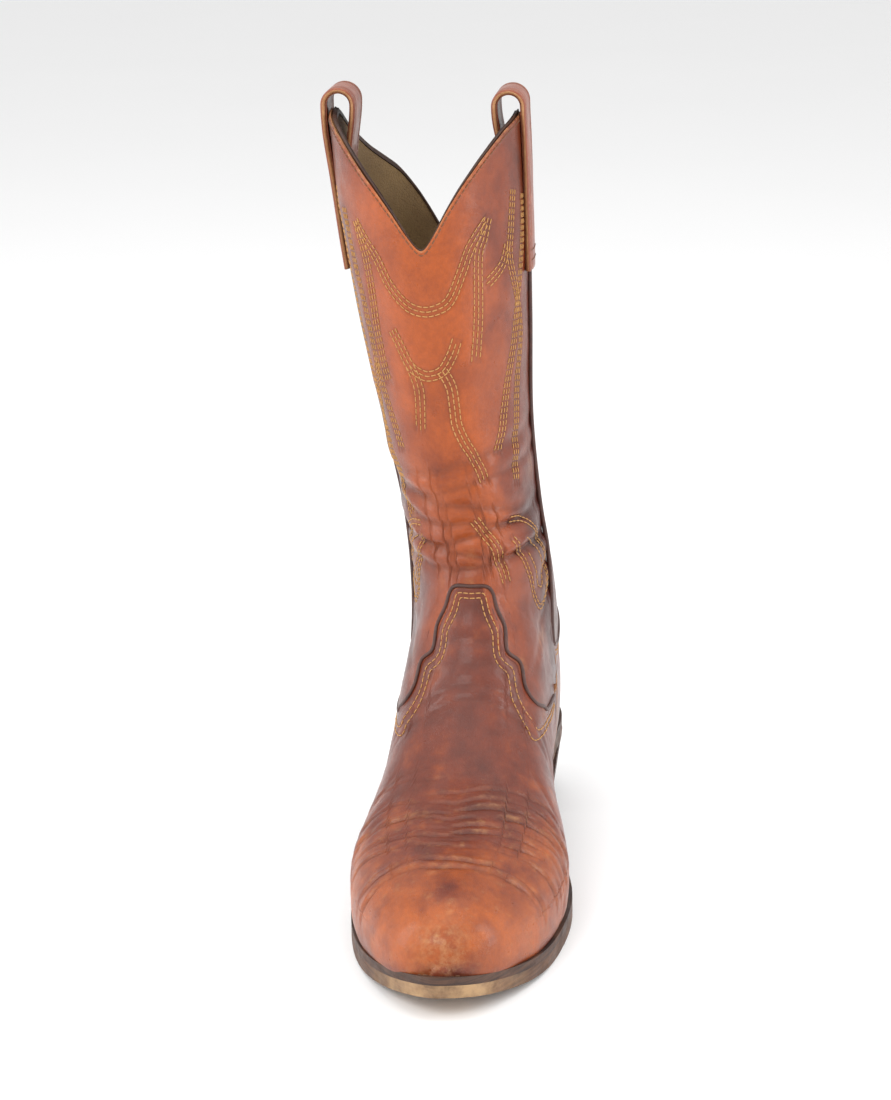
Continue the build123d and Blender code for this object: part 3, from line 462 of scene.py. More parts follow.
def lining_material(name):
    """Aged pigskin lining: olive tan, with painted shade darkening it deeper down inside the boot."""
    n = Nodes(name)
    # Painted shade: darker lower down, deeper inside the boot
    depth = n.ramp(n.along("Z"), 0.20, 0.35, 1.0, 0.0)
    base = n.mix(n.ramp(n.noise(30, 5, 0.6, 0.5), 0.3, 0.7), (0.34, 0.22, 0.09), (0.22, 0.135, 0.055))
    colour = n.mix(n.times(depth, 0.7), base, (0.10, 0.055, 0.03))
    pores = n.ramp(n.voronoi(700), 0.0, 0.12)
    colour = n.mix(n.times(n.ramp(pores, 0, 1, 1, 0), 0.3), colour, (0.08, 0.045, 0.02))
    return n.finish(colour, 0.72, n.plus(pores, n.noise(800, 5, 0.7)), 0.35, 0.0006)


# On the shaft, the light colour stands partly for painted front light and the dark colour partly for painted
# shade round the sides
shaft_leather = glossy_leather("shaft_leather", (0.40, 0.078, 0.009), (0.190, 0.031, 0.006),
                               (0.060, 0.009, 0.004), (0.50, 0.22, 0.08))
vamp_leather = glossy_leather("vamp_leather", (0.40, 0.086, 0.010), (0.160, 0.029, 0.011),
                              (0.062, 0.012, 0.007), (0.52, 0.27, 0.11))
strap_leather = plain_leather("strap_leather", (0.30, 0.072, 0.024), (0.17, 0.034, 0.013), 90, (0.34, 0.5),
                              0.25, 0.2)
raw_edge = plain_leather("raw_leather_edge", (0.52, 0.27, 0.12), (0.36, 0.15, 0.06), 300, (0.6, 0.8))
band_leather = plain_leather("top_band_leather", (0.075, 0.030, 0.016), (0.030, 0.013, 0.009), 200)
piping_leather = plain_leather("piping_leather", (0.085, 0.024, 0.013), (0.035, 0.011, 0.008), 260, (0.3, 0.45))
welt_leather = stacked_leather("welt_leather", (0.095, 0.040, 0.020), (0.032, 0.014, 0.009))
sole_leather = stacked_leather("sole_leather", (0.150, 0.068, 0.032), (0.055, 0.024, 0.013),
                               toe=(0.44, 0.27, 0.13))
heel_leather = stacked_leather("heel_leather", (0.085, 0.034, 0.017), (0.030, 0.013, 0.008), 700)
thread_fibre = fibre("thread", (0.60, 0.33, 0.11), (0.42, 0.20, 0.06), 2500)
dark_thread = fibre("dark_thread", (0.22, 0.10, 0.045), (0.11, 0.05, 0.025), 2500)
lining_leather = lining_material("lining_leather")


# Building pieces


def to_frame(points):
    """Boot measures to metres in the shared frame."""
    return (np.asarray(points) + np.array([HEEL_X, TOE_Y, 0.0])) * MM


def new_piece(name, points, faces, materials, stands_for=(), attributes=None):
    mesh = bpy.data.meshes.new(name)
    mesh.from_pydata(to_frame(points).tolist(), [], faces)
    mesh.update()
    for material in materials:
        mesh.materials.append(material)
    for key, values in (attributes or {}).items():
        layer = mesh.attributes.new(key, "FLOAT", "POINT")
        layer.data.foreach_set("value", np.asarray(values, np.float32).ravel())
    mesh.polygons.foreach_set("use_smooth", [True] * len(mesh.polygons))
    piece = bpy.data.objects.new(name, mesh)
    bpy.context.scene.collection.objects.link(piece)
    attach(piece, "root")
    if stands_for:
        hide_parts(*stands_for)
    return piece


def grid_faces(rows, columns, wrap=False):
    i, j = np.meshgrid(np.arange(rows - 1), np.arange(columns if wrap else columns - 1), indexing="ij")
    k = (j + 1) % columns
    quads = [i * columns + j, i * columns + k, (i + 1) * columns + k, (i + 1) * columns + j]
    return np.stack(quads, -1).reshape(-1, 4).tolist()


def face_out(points, faces, normals):
    """Faces turned so that their normals agree with the surface's."""
    a, b, _, d = faces[len(faces) // 2]
    flat = points.reshape(-1, 3)
    n = np.cross(flat[b] - flat[a], flat[d] - flat[a])
    return faces if np.dot(n, normals.reshape(-1, 3)[a]) >= 0 else [f[::-1] for f in faces]


def thicken(piece, thickness):
    """Thickness inwards, with the second material, if there is one, at the rim."""
    solid = piece.modifiers.new("thickness", "SOLIDIFY")
    solid.thickness = thickness * MM
    solid.offset = -1
    solid.material_offset_rim = len(piece.data.materials) - 1
    return solid


def sheet(name, place, angle, offset, thickness, materials, stands_for, move, attributes=None):
    """A skin with thickness. offset is how far its outer face lies outside the boot's surface."""
    normals = outward(place, angle)
    points = surface(place, angle) + normals * (offset + move)[..., None]
    faces = face_out(points, grid_faces(*place.shape), normals)
    piece = new_piece(name, points.reshape(-1, 3), faces, materials, stands_for, attributes)
    solid = thicken(piece, thickness)
    solid.use_even_offset = False
    solid.material_offset = len(materials) - 1
    return points, normals


def rolled(distance, radius=1.0):
    """How far an edge drops as it rolls in."""
    t = unit(1 - distance / radius)
    return -0.75 * radius * (1 - np.sqrt(1 - t * t * 0.98))


def resample(path, spacing, *others):
    """Points at even spacing along a path, and the same places on other lines beside it."""
    run = run_length(path)
    t = np.linspace(0, run[-1], max(2, int(run[-1] / spacing)))
    out = [np.stack([np.interp(t, run, line[:, k]) for k in range(3)], -1) for line in (path, *others)]
    return out if others else out[0]


PIPING_OUT = 0.35
PIPING_SIDES = 12


def piping(name, path, normals, radius, spacing):
    """A round cord along a path, with small ends."""
    path, normals = resample(path, spacing, normals)
    path = path + normals * PIPING_OUT
    ahead = directions(path)
    side = np.cross(ahead, normals)
    side /= np.linalg.norm(side, axis=1, keepdims=True) + NIL
    turn = np.linspace(0, 2 * np.pi, PIPING_SIDES, endpoint=False)[:, None]
    size = np.full((len(path), 1, 1), radius)
    size[[0, -1]] *= 0.05
    around = size * (side[:, None] * np.cos(turn) + np.cross(side, ahead)[:, None] * np.sin(turn))
    points = path[:, None] + around
    faces = face_out(points, grid_faces(len(path), PIPING_SIDES, wrap=True), around)
    new_piece(f"{name}_cord", points.reshape(-1, 3), faces, [piping_leather], (name,))


STITCH = 2.5
STITCH_GAP = 0.7
STITCH_STEP = 0.25
STITCH_SIDES = 6
# Along a stitch: share of its length, width and height in radii
STITCH_SHAPE = [(0.0, 0.25, -0.5), (0.12, 0.85, -0.08), (0.5, 1.0, 0.12), (0.88, 0.85, -0.08),
                (1.0, 0.25, -0.5)]


def stitches(name, paths, material, radius):
    """Rows of separate stitches. Each path is (points, outward normals)."""
    turn = np.linspace(0, 2 * np.pi, STITCH_SIDES, endpoint=False)[:, None]
    rings = grid_faces(len(STITCH_SHAPE), STITCH_SIDES, wrap=True)
    last = (len(STITCH_SHAPE) - 1) * STITCH_SIDES
    shape = [*rings, list(reversed(range(STITCH_SIDES))), [last + m for m in range(STITCH_SIDES)]]
    points, faces = [], []
    for path, normals in paths:
        p, n = resample(path, STITCH_STEP, normals)
        length = int(STITCH / STITCH_STEP)
        for start in range(0, len(p) - length, int((STITCH + STITCH_GAP) / STITCH_STEP)):
            ahead = p[start + length] - p[start]
            size = np.linalg.norm(ahead)
            if size < 0.5:
                continue
            ahead = ahead / size
            side = np.cross(ahead, n[start + length // 2])
            side /= np.linalg.norm(side) + TINY
            up = np.cross(side, ahead)
            faces += [[len(points) + k for k in face] for face in shape]
            for share, width, height in STITCH_SHAPE:
                middle = p[start + int(round(share * length))] + up * (height * radius)
                points.extend(middle + (side * np.cos(turn) + up * np.sin(turn) * 0.9) * radius * width)
    new_piece(name, np.array(points), faces, [material])


# Where each part of the upper lies: angles at each of PLACES


seam_angle = angle_where(lambda p: p[..., 1] - np.interp(p[..., 2], *SEAM.T))
seam_from = np.searchsorted(PLACES, 11.2)
seam_angle[:seam_from] = seam_angle[seam_from]
feather_angle = angle_where(lambda p: -above_sole(p, FEATHER), low=60)
counter_angle = angle_where(lambda p: -counter_line(p), low=40)


def front_angles(fraction):
    return fraction * seam_angle


def back_angles(fraction):
    return np.pi + fraction * (np.pi - seam_angle)


def vamp_angles(fraction):
    return fraction * feather_angle


def counter_angles(fraction):
    return np.pi + fraction * (np.pi - counter_angle)


# The shaft's top edges: degrees from the front or the back, height
FRONT_TOP = smooth_line([(0, 303), (10, 315.5), (17.5, 325), (26, 334), (34, 341), (44, 348.5), (56, 355.5),
                         (68, 360), (90, 363.5), (120, 364)])
BACK_TOP = smooth_line([(0, 286), (10.5, 299.3), (20.7, 313.5), (32.3, 326), (41.7, 332.4), (56, 341), 
                        (72, 352), (90, 363.5), (120, 364)])
SHAFT_PLACES = np.linspace(18, TOP, 200)
SHAFT_RINGS = catmull(STATIONS, SHAFT_PLACES)
SHAFT_HEIGHTS = (SHAFT_RINGS[:, 1] + SHAFT_RINGS[:, 3]) / 2


def angle_of(p):
    """The ring angle of a point near the top of the shaft, in degrees from the front."""
    row = catmull(STATIONS, np.interp(p[..., 2], SHAFT_HEIGHTS, SHAFT_PLACES))
    middle_y = (row[..., 0] + row[..., 2]) / 2
    half_length = (row[..., 2] - row[..., 0]) / 2
    return np.degrees(np.arccos(np.clip((middle_y - p[..., 1]) / half_length, -1, 1)))


def front_top(p, lower=0.0):
    """How far under the front panel's top edge."""
    return np.interp(angle_of(p), *FRONT_TOP.T) - lower - p[..., 2]


def back_top(p, lower=0.0):
    """How far under the back panel's top edge."""
    return np.interp(180 - angle_of(p), *BACK_TOP.T) - lower - p[..., 2]


SHAFT_LAP = 3.0


def over_vamp(p):
    return SHAFT_LAP - vamp_edge(p)


def over_counter(p):
    return SHAFT_LAP - counter_edge(p)


# Halves of the shaft: angles, lower edge, upper edge, lowest place. Columns are evenly spaced at the rings
HALVES = {"front": (front_angles, over_vamp, front_top, 8.5),
          "back": (back_angles, over_counter, back_top, 13.2)}
SHAFT_RING, VAMP_RING, COUNTER_RING, BAND_RING = 19, 7, 14, 20.5
FINE = 1.0
FOOT_FINE = FINE * 1.1


def shaft_grid(half, spacing, lower=0.0):
    angles_at, under, over, low = HALVES[half]
    fractions = even_fractions(angles_at, SHAFT_RING, spacing)
    return sheet_grid(angles_at, fractions, under, lambda p: over(p, lower), low, TOP + 1, spacing)


shaft_grids = {half: shaft_grid(half, FINE) for half in HALVES}
vamp_grid = sheet_grid(vamp_angles, even_fractions(vamp_angles, VAMP_RING, FOOT_FINE), None, vamp_zone,
                       -1, 14.5, FOOT_FINE)
counter_grid = sheet_grid(counter_angles, even_fractions(counter_angles, COUNTER_RING, FOOT_FINE),
                          lambda p: above_sole(p, FEATHER), counter_edge, 10.7, 17.8, FOOT_FINE)


# The stitched flame: degrees from the front or the back, height. A pair is stitched on both sides


FLAME = {
    "upper_bowl": [(-45, 318), (-38, 310), (-31, 302), (-24, 290), (-14, 281.5), (-4, 278.5), (6, 279.5),
                   (15, 284), (24, 297), (31, 308), (44, 320)],
    "right_peak": [(44, 320), (40, 311), (35.5, 303), (33, 283), (31, 268), (28, 253)],
    "left_peak": [(-45, 318), (-42, 308), (-40, 298), (-41, 280), (-42, 262), (-39, 240)],
    "small_peak": [(58, 305), (54, 298), (48, 293.5), (39, 289)],
    "lower_bowl": [(-27, 268), (-23, 262), (-17, 252), (-9, 248), (-3, 247.5), (5, 250), (12, 257), (17, 265)],
    "lower_left": [(-17, 252), (-13.5, 244), (-13, 236), (-17, 220)],
    "lower_right": [(5, 250), (9.5, 242), (10, 232), (10, 223), (14, 214), (20, 206), (26, 193)],
    "instep": [(9, 176), (15, 169), (20, 163), (24, 152), (27, 143)],
    "outer_left": [(-58, 322), (-56, 300), (-52, 275), (-50, 250), (-46, 228), (-40, 207)],
    "outer_right": [(78, 326), (74, 300), (66, 272), (56, 245), (48, 224), (40, 206)],
    "side_left": [(-72, 330), (-70, 300), (-68, 270), (-62, 240), (-60, 215), (-52, 190)],
    "side_right": [(66, 330), (62, 312), (60, 296), (70, 268), (66, 240), (60, 212), (54, 188)],
    "fork_left": [(-50, 250), (-58, 232), (-64, 210), (-60, 188), (-50, 172)],
    "drop_outer": [(40, 172), (52, 170), (64, 162), (72, 150), (74, 138), (68, 128), (60, 124), (54, 130),
                   (50, 142), (44, 156), (38, 166)],
    "drop_inner": [(50, 162), (58, 158), (65, 150), (67, 140), (63, 133), (58, 135), (56, 144), (50, 156)],
}
FLAME.update({f"{key}_left": [(-a, z) for a, z in FLAME[key]] for key in ("drop_outer", "drop_inner")})
BACK_FLAME = {
    "bowl": [(-40, 310), (-30, 300), (-18, 282), (-6, 268), (0, 262), (6, 268), (18, 282), (30, 300),
             (40, 310)],
    "leg_pair": [(-40, 310), (-40, 290), (-34, 262), (-34, 240), (-26, 215)],
    "second": [(-26, 250), (-14, 236), (0, 226), (14, 236), (26, 250)],
    "spine_pair": [(-8, 232), (-10, 212), (-18, 192), (-12, 172)],
    "outer_pair": [(-58, 332), (-62, 300), (-56, 270), (-58, 240), (-48, 210), (-50, 185)],
    "side_pair": [(-74, 336), (-76, 300), (-70, 270), (-74, 235), (-66, 205), (-68, 180)],
    "drop_pair": [(-30, 178), (-40, 168), (-50, 156), (-54, 144), (-48, 136), (-40, 140), (-34, 152),
                  (-28, 166)],
}
ROW_GAP = 2.3


def place_at_height(angle, z):
    """The place on a column at an angle where the surface reaches a height."""
    place = np.linspace(9, TOP, 400)
    out = np.empty(len(angle))
    for i, (a, height) in enumerate(zip(angle, z)):
        out[i] = np.interp(height, surface(place, np.full_like(place, a))[:, 2], place)
    return out


def flame_paths(lines, middle):
    """Rows of stitching beside each line: three, but two round a drop and one inside it."""
    paths = []
    for key, line in lines.items():
        rows = (0,) if "drop_inner" in key else (-1, 0) if "drop" in key else (-1, 0, 1)
        for points in (line, [(-a, z) for a, z in line])[: 2 if "pair" in key else 1]:
            table = smooth_line(points, 10)
            angle = np.radians(table[:, 0]) + middle
            place = place_at_height(angle, table[:, 1])
            p = surface(place, angle)
            sideways = np.cross(directions(p), outward(place, angle))
            paths += [p + sideways * (row * ROW_GAP) for row in rows]
    return paths


flames = {"front": flame_paths(FLAME, 0.0), "back": flame_paths(BACK_FLAME, np.pi)}


def dense(paths):
    return np.concatenate([resample(p, 0.6) for p in paths])


def near(points, targets, reach=4.0):
    """Distance of each point to the nearest target, up to reach."""
    tree = point_tree(targets)
    found = [min(reach, tree.find(p)[2]) for p in points.reshape(-1, 3)]
    return np.array(found).reshape(points.shape[:-1])


def groove(distance, depth=0.38):
    return -depth * bump(distance, 0, 0.75)


def thread_shade(dark, distance):
    """Painted shade in creases, and painted shade on the leather beside stitching."""
    return unit(dark + 0.35 * bump(distance, 0, 0.8))


# Creases


def from_front(angle):
    """Degrees from the front, whichever way round."""
    return np.abs(180 - np.abs(np.degrees(angle) - 180))


def shaft_relief(p, angle):
    """Folds and sags of the worn shaft, in millimetres outwards, and the painted shade that darkens each fold.
    """
    x, y, z = np.moveaxis(p, -1, 0)
    move = 0.9 * smooth_noise(p, 46, 3) + 0.35 * smooth_noise(p, 17, 4) + 0.10 * smooth_noise(p, 5, 5)
    dark = np.zeros_like(z)
    drift = 2.5 * smooth_noise(p, 22, 8)
    share = 0.35 + 0.65 * unit((230 - y) / 40)
    # Folds across the front of the ankle: height, width, depth, slope
    folds = [(150, 2.6, 1.3, 0.10), (157, 2.3, 1.2, -0.15), (164, 2.6, 1.3, 0.25), (172, 2.6, 1.1, -0.10),
             (181, 3.4, 1.2, -0.2), (191, 3.0, 0.9, 0.25), (203, 4.2, 0.8, 0.3)]
    for middle, width, depth, slope in folds:
        line = middle + slope * (x + 4) + 0.0035 * (x + 4) ** 2 + drift
        move -= depth * bump(z, line, width) * share
        move += 0.5 * depth * bump(z, line + 2.1 * width, width * 1.2) * share
        # Painted shade along the bottom of each fold
        dark += 0.5 * depth * bump(z, line, width * 0.55)
    side = unit((from_front(angle) - 45) / 30)
    side_folds = [(128, 3.5, 1.2, 0.5), (143, 4.5, 1.5, 0.35), (162, 5, 1.3, 0.2), (184, 6, 0.9, -0.1)]
    for middle, width, depth, slope in side_folds:
        line = middle + slope * (y - 225) + drift
        move -= depth * bump(z, line, width) * side
        # Painted shade along the bottom of each side fold
        dark += 0.35 * depth * bump(z, line, width * 0.5) * side
    return move, unit(dark)


def vamp_relief(p):
    """Creases across the ball, behind the toe and at the ankle: move outwards, painted shade in the creases,
    rubbed crests.
    """
    x, y, z = np.moveaxis(p, -1, 0)
    top = unit((z - sole_z(y) - 18) / 16)
    move = 0.35 * smooth_noise(p, 30, 11) + 0.12 * smooth_noise(p, 9, 12)
    dark = np.zeros_like(z)
    worn = np.zeros_like(z)
    wobble = 1.6 * smooth_noise(p, 14, 13) + 0.5 * smooth_noise(p, 4, 14)
    # Distance from the toe, bow, slope, depth, width, and 1 or -1 where only the medial or lateral side has it
    creases = [
        (50, -0.001, 0.02, 0.75, 1.3, 0), (56, -0.001, -0.02, 0.6, 1.1, 0), (64, 0.0, 0.10, 0.5, 0.8, 1),
        (69, 0.0, 0.13, 0.6, 0.8, 1), (74, 0.0, 0.15, 0.7, 0.9, 1), (79, 0.0, 0.17, 0.7, 0.9, 1),
        (84, 0.0, 0.19, 0.75, 1.0, 1), (89.5, 0.0, 0.20, 0.7, 1.0, 1), (95, 0.0, 0.20, 0.6, 0.9, 1),
        (101, 0.001, 0.18, 0.5, 0.9, 1), (66, 0.002, -0.10, 0.4, 0.7, -1), (72, 0.002, -0.14, 0.45, 0.7, -1),
        (77, 0.002, -0.05, 0.45, 0.7, -1), (83, 0.002, -0.16, 0.5, 0.8, -1), (88, 0.002, 0.02, 0.4, 0.7, -1),
        (94, 0.002, -0.12, 0.45, 0.8, -1), (101, 0.003, 0.04, 0.4, 0.8, -1), (109, 0.003, -0.08, 0.4, 0.8, -1),
        (117, 0.003, 0.05, 0.35, 0.9, -1),
    ]
    for k, (middle, bow, slope, depth, width, side_of) in enumerate(creases):
        line = middle + bow * x * x + slope * x + wobble
        gate = unit(0.6 + 0.9 * smooth_noise(p, 15, 20 + k)) * top
        if side_of:
            gate = gate * unit(0.5 + side_of * (x - 2) / 9)
        move -= 1.3 * depth * bump(y, line, width) * gate
        move += 0.6 * depth * bump(y, line + 2.2 * width, width * 1.3) * gate
        # Painted shade along the bottom of each crease
        dark += 0.85 * depth * bump(y, line, width * 0.6) * gate
        worn += depth * bump(y, line + 1.7 * width, width) * gate
    fold_drift = 2 * smooth_noise(p, 18, 40)
    for middle, depth in [(143, 0.5), (149, 0.6), (155, 0.6), (161, 0.6), (167, 0.5)]:
        line = middle + 0.004 * x * x + fold_drift
        move -= depth * bump(y, line, 2.2) * top
        # Painted shade along the bottom of each ankle fold
        dark += 0.3 * depth * bump(y, line, 2.2 * 0.6) * top
    side = unit((np.abs(x) - 26) / 12)
    side_folds = [(88, 2.0, 0.6, 0.4), (98, 2.2, 0.6, 0.3), (108, 2.0, 0.5, 0.5), (180, 3.0, 0.8, 0.7),
                  (194, 3.0, 0.8, 0.6)]
    for middle, width, depth, slope in side_folds:
        line = middle + slope * (z - 35) + fold_drift
        move -= depth * bump(y, line, width) * side
        # Painted shade along the bottom of each side fold
        dark += 0.35 * depth * bump(y, line, width * 0.5) * side
    return move, unit(dark), unit(worn)


def shaft_tone_and_shading(p, angle):
    """0 where the leather is light orange, 1 where it is dark. It is painted shading: lighter at the front and
    darker round the sides, with a painted highlight at the front near the top.
    """
    degrees = from_front(angle)
    z = p[..., 2]
    # Painted shade: darker round the sides, away from the front
    tone = 0.08 + 0.72 * unit((degrees - 26) / 54)
    tone += 0.26 * unit((235 - z) / 80)
    tone += 0.12 * smooth_noise(p, 30, 50) + 0.06 * smooth_noise(p, 8, 51)
    # Painted highlight: lighter at the front near the top
    tone -= 0.10 * bump(z, 300, 30) * unit(1 - degrees / 60)
    return unit(tone)


def vamp_tone(p):
    x, y, z = np.moveaxis(p, -1, 0)
    drift = 6 * smooth_noise(p, 16, 60)
    tone = np.interp(y + drift - 0.004 * x * x, [8, 34, 48, 72, 100, 130, 170, 200],
                     [0.08, 0.10, 0.30, 0.56, 0.66, 0.56, 0.62, 0.7])
    tone -= 0.34 * unit((np.abs(x) - 24) / 20) * unit((y - 60) / 20) * unit((130 - y) / 30)
    tone += 0.45 * bump(x, 4, 9) * bump(y, 34, 9)
    tone += 0.14 * smooth_noise(p, 9, 61) + 0.10 * smooth_noise(p, 3.5, 62)
    tone += 0.3 * unit(1 - (z - sole_z(y) - 10) / 7)
    return unit(tone)


# The upper


def shaft_panel(half, ankle_scuff):
    place, angle, distance = shaft_grids[half]
    p = surface(place, angle)
    z = p[..., 2]
    move, dark = shaft_relief(p, angle)
    d = near(p, dense(flames[half]))
    move = move * np.clip(distance / 4, 0.25, 1) + groove(d) + rolled(distance)
    scuff = ankle_scuff * unit(smooth_noise(p, 12, 70) - 0.35) * unit((210 - z) / 40)
    scuff = unit(scuff + 0.7 * unit(1 - distance / 1.4) * (z > 250))
    attributes = {"tone": shaft_tone_and_shading(p, angle), "painted_shade": thread_shade(dark * 0.6, d), "scuff": scuff}
    return sheet(f"{half}_shaft_panel_leather", place, angle, 0.0, LEATHER, [shaft_leather, raw_edge],
                 (f"{half}_shaft_panel",), move, attributes)


def vamp():
    place, angle, _ = vamp_grid
    p = surface(place, angle)
    x, y, z = np.moveaxis(p, -1, 0)
    move, dark, worn = vamp_relief(p)
    edge = vamp_zone(p)
    d = near(p, dense([path for path, _ in vamp_rows]))
    move = move * np.clip(edge / 5, 0.2, 1) + rolled(edge, 1.1) + groove(d, 0.3)
    scratch = unit(smooth_noise(p * np.array([0.35, 1.6, 1.0]), 2.2, 74) - 0.45) * unit((120 - y) / 50)
    scuff = 0.42 * bump(x, 4, 11) * bump(y, 9, 7) + 0.5 * scratch
    scuff += 0.6 * worn * unit(0.4 + smooth_noise(p, 7, 71))
    scuff += 0.6 * unit(smooth_noise(p, 5, 72) - 0.45) * unit((60 - y) / 30)
    scuff += 0.9 * unit(smooth_noise(p, 3, 73) - 0.55) * bump(y, 72, 12)
    cracks = 0.16 * bump(y, 88, 26) * unit((z - sole_z(y) - 26) / 16)
    attributes = {"tone": vamp_tone(p), "painted_shade": thread_shade(dark, d), "scuff": unit(scuff), "worn": cracks}
    return sheet("vamp_leather", place, angle, VAMP_OUT, LEATHER, [vamp_leather, raw_edge],
                 ("vamp",), move, attributes)


def counter():
    place, angle, distance = counter_grid
    p = surface(place, angle)
    y, z = p[..., 1], p[..., 2]
    move = 0.35 * smooth_noise(p, 26, 15) + 0.12 * smooth_noise(p, 8, 16)
    drift = 2 * smooth_noise(p, 16, 17)
    dark = np.zeros_like(z)
    for middle in (88, 98):
        line = middle + 0.1 * (y - 260) + drift
        move -= 0.5 * bump(z, line, 2.6)
        # Painted shade along the bottom of each fold
        dark += 0.2 * bump(z, line, 1.4)
    d = near(p, dense([path for path, _ in counter_rows]))
    move = move * np.clip(counter_edge(p) / 5, 0.2, 1) + rolled(distance) + groove(d, 0.3)
    tone = unit(0.62 + 0.15 * smooth_noise(p, 24, 18) + 0.2 * unit(1 - above_sole(p, 10) / 8))
    scuff = unit(smooth_noise(p, 6, 19) - 0.45) * unit((75 - z) / 30)
    attributes = {"tone": tone, "painted_shade": thread_shade(dark, d), "scuff": scuff}
    return sheet("counter_leather", place, angle, COUNTER_OUT, LEATHER, [vamp_leather, raw_edge],
                 ("counter_cover",), move, attributes)


def level_line(angles_at, fractions, test, level, low, high):
    """Places and angles of the line on the surface where a test has a value."""
    first, last = np.searchsorted(PLACES, low), np.searchsorted(PLACES, high) - 1
    places, angles = [], []
    for fraction in fractions:
        angle = angles_at(fraction)[first:last + 1]
        place = PLACES[first:last + 1]
        at = first_crossing(test(surface(place, angle)) - level, rising=False)
        if at is None:
            continue
        places.append(np.interp(at, np.arange(len(place)), place))
        angles.append(np.interp(at, np.arange(len(place)), angle))
    return np.array(places), np.array(angles)


def lifted(place, angle, lift=0.0):
    """Points over the surface, with their normals."""
    return surface(place, angle) + outward(place, angle) * lift, outward(place, angle)


VAMP_OUT, COUNTER_OUT = 0.5, 0.6
EDGE_ROWS = (2.6, 4.8)


def edge_rows(angles_at, fractions, test, low, high, lift):
    """Two rows of stitching inside an edge."""
    return [lifted(*level_line(angles_at, fractions, test, row, low, high), lift) for row in EDGE_ROWS]


vamp_rows = edge_rows(vamp_angles, np.linspace(-0.93, 0.93, 420), vamp_edge, 5, 14.4, VAMP_OUT)
counter_rows = edge_rows(counter_angles, np.linspace(-0.97, 0.97, 300), counter_edge, 11.5, 17.8, COUNTER_OUT)
leather = {"front": shaft_panel("front", 1.0), "back": shaft_panel("back", 0.0), "vamp": vamp(),
           "counter": counter()}


# Lining and binding, seen inside the top


LINING_SPACING = 2.0
LINING_GAP = 0.1
LINING_DROP = 3.4
FOLD_ROOM = 0.45
for half in HALVES:
    place, angle, distance = shaft_grid(half, LINING_SPACING, LINING_DROP)
    folds, _ = shaft_relief(surface(place, angle), angle)
    sheet(f"{half}_lining_leather", place, angle, -LEATHER - LINING_GAP, WALL - LEATHER - LINING_GAP,
          [lining_leather], (f"{half}_shaft_lining",), (folds - FOLD_ROOM) * unit(distance / 12))

BAND_WIDTH, BAND_PROUD, BAND_THICK = 4.2, 0.3, 2.1
for half, (angles_at, _, top, _) in HALVES.items():
    place, angle, distance = sheet_grid(angles_at, even_fractions(angles_at, BAND_RING, 1.6),
                                        lambda p: -top(p, BAND_WIDTH), lambda p: top(p, -BAND_PROUD),
                                        17, TOP + 1, 0.8, (0.3, 0.7))
    sheet(f"top_band_{half}_leather", place, angle, -LEATHER - 0.05, BAND_THICK, [band_leather],
          (f"top_band_{half}",), rolled(distance, 0.8) * 0.8)


# Piping


SIDES = ((1, "medial"), (-1, "lateral"))
SEAM_ROWS = slice(np.searchsorted(PLACES, 13.0), None)
SEAM_TOP = 304.0
PIPING_OVER = -0.7
for side, side_name in SIDES:
    path, normals = lifted(PLACES[SEAM_ROWS], side * seam_angle[SEAM_ROWS])
    keep = (path[:, 2] > SEAM_Z) & (path[:, 2] < SEAM_TOP)
    piping(f"side_piping_{side_name}", path[keep], normals[keep], 1.15, 1.5)
for part, angles_at, count, test, low, high in (("vamp", vamp_angles, 520, vamp_edge, 5, 14.6),
                                                ("counter", counter_angles, 360, counter_edge, 11.5, 18.2)):
    line = level_line(angles_at, np.linspace(-1, 1, count), test, PIPING_OVER, low, high)
    piping(f"{part}_piping", *lifted(*line), 1.0, 1.2)


# Stitching


THREAD, FINE_THREAD, WELT_THREAD = 0.30, 0.28, 0.45
THREAD_LIFT = 0.12
FLAME_CLEAR = 3


def on_leather(part, paths, lift=THREAD_LIFT):
    """Paths laid on a piece of leather. A path that is points alone gets its normals from the leather."""
    points, normals = (a.reshape(-1, 3) for a in leather[part])
    tree = point_tree(points)
    out = []
    for path in paths:
        path, up = path if isinstance(path, tuple) else (path, normals[[tree.find(q)[1] for q in path]])
        path, up = resample(path, 0.6, up)
        moved = np.empty_like(path)
        for i, (q, n) in enumerate(zip(path, up)):
            heights, weights = 0.0, 0.0
            for co, _, dist in tree.find_n(q, 4):
                w = 1 / (dist + 0.05)
                heights += w * np.dot(np.array(co) - q, n)
                weights += w
            moved[i] = q + n * (heights / weights + lift)
        out.append((moved, up))
    return out


def clip_paths(paths, inside):
    """Only the stretches of each path that lie inside."""
    out = []
    for path in paths:
        path = resample(path, 0.6)
        turns = np.flatnonzero(np.diff([0, *inside(path), 0]))
        out += [path[a:b] for a, b in zip(turns[::2], turns[1::2]) if b - a > 8]
    return out


for half, (_, under, top, _) in HALVES.items():
    paths = clip_paths(flames[half], lambda p: (top(p) > FLAME_CLEAR) & (under(p) > SHAFT_LAP + FLAME_CLEAR))
    stitches(f"{half}_flame_stitching", on_leather(half, paths), thread_fibre, THREAD)
for part, rows in (("vamp", vamp_rows), ("counter", counter_rows)):
    stitches(f"{part}_stitching", on_leather(part, rows), thread_fibre, THREAD)
top_rows = []
for half, (angles_at, _, top, _) in HALVES.items():
    line = level_line(angles_at, np.linspace(-0.985, 0.985, 320), top, 2.2, 17, TOP)
    top_rows += on_leather(half, [lifted(*line)], 0.1)
stitches("top_edge_stitching", top_rows, dark_thread, FINE_THREAD)


# Pull straps


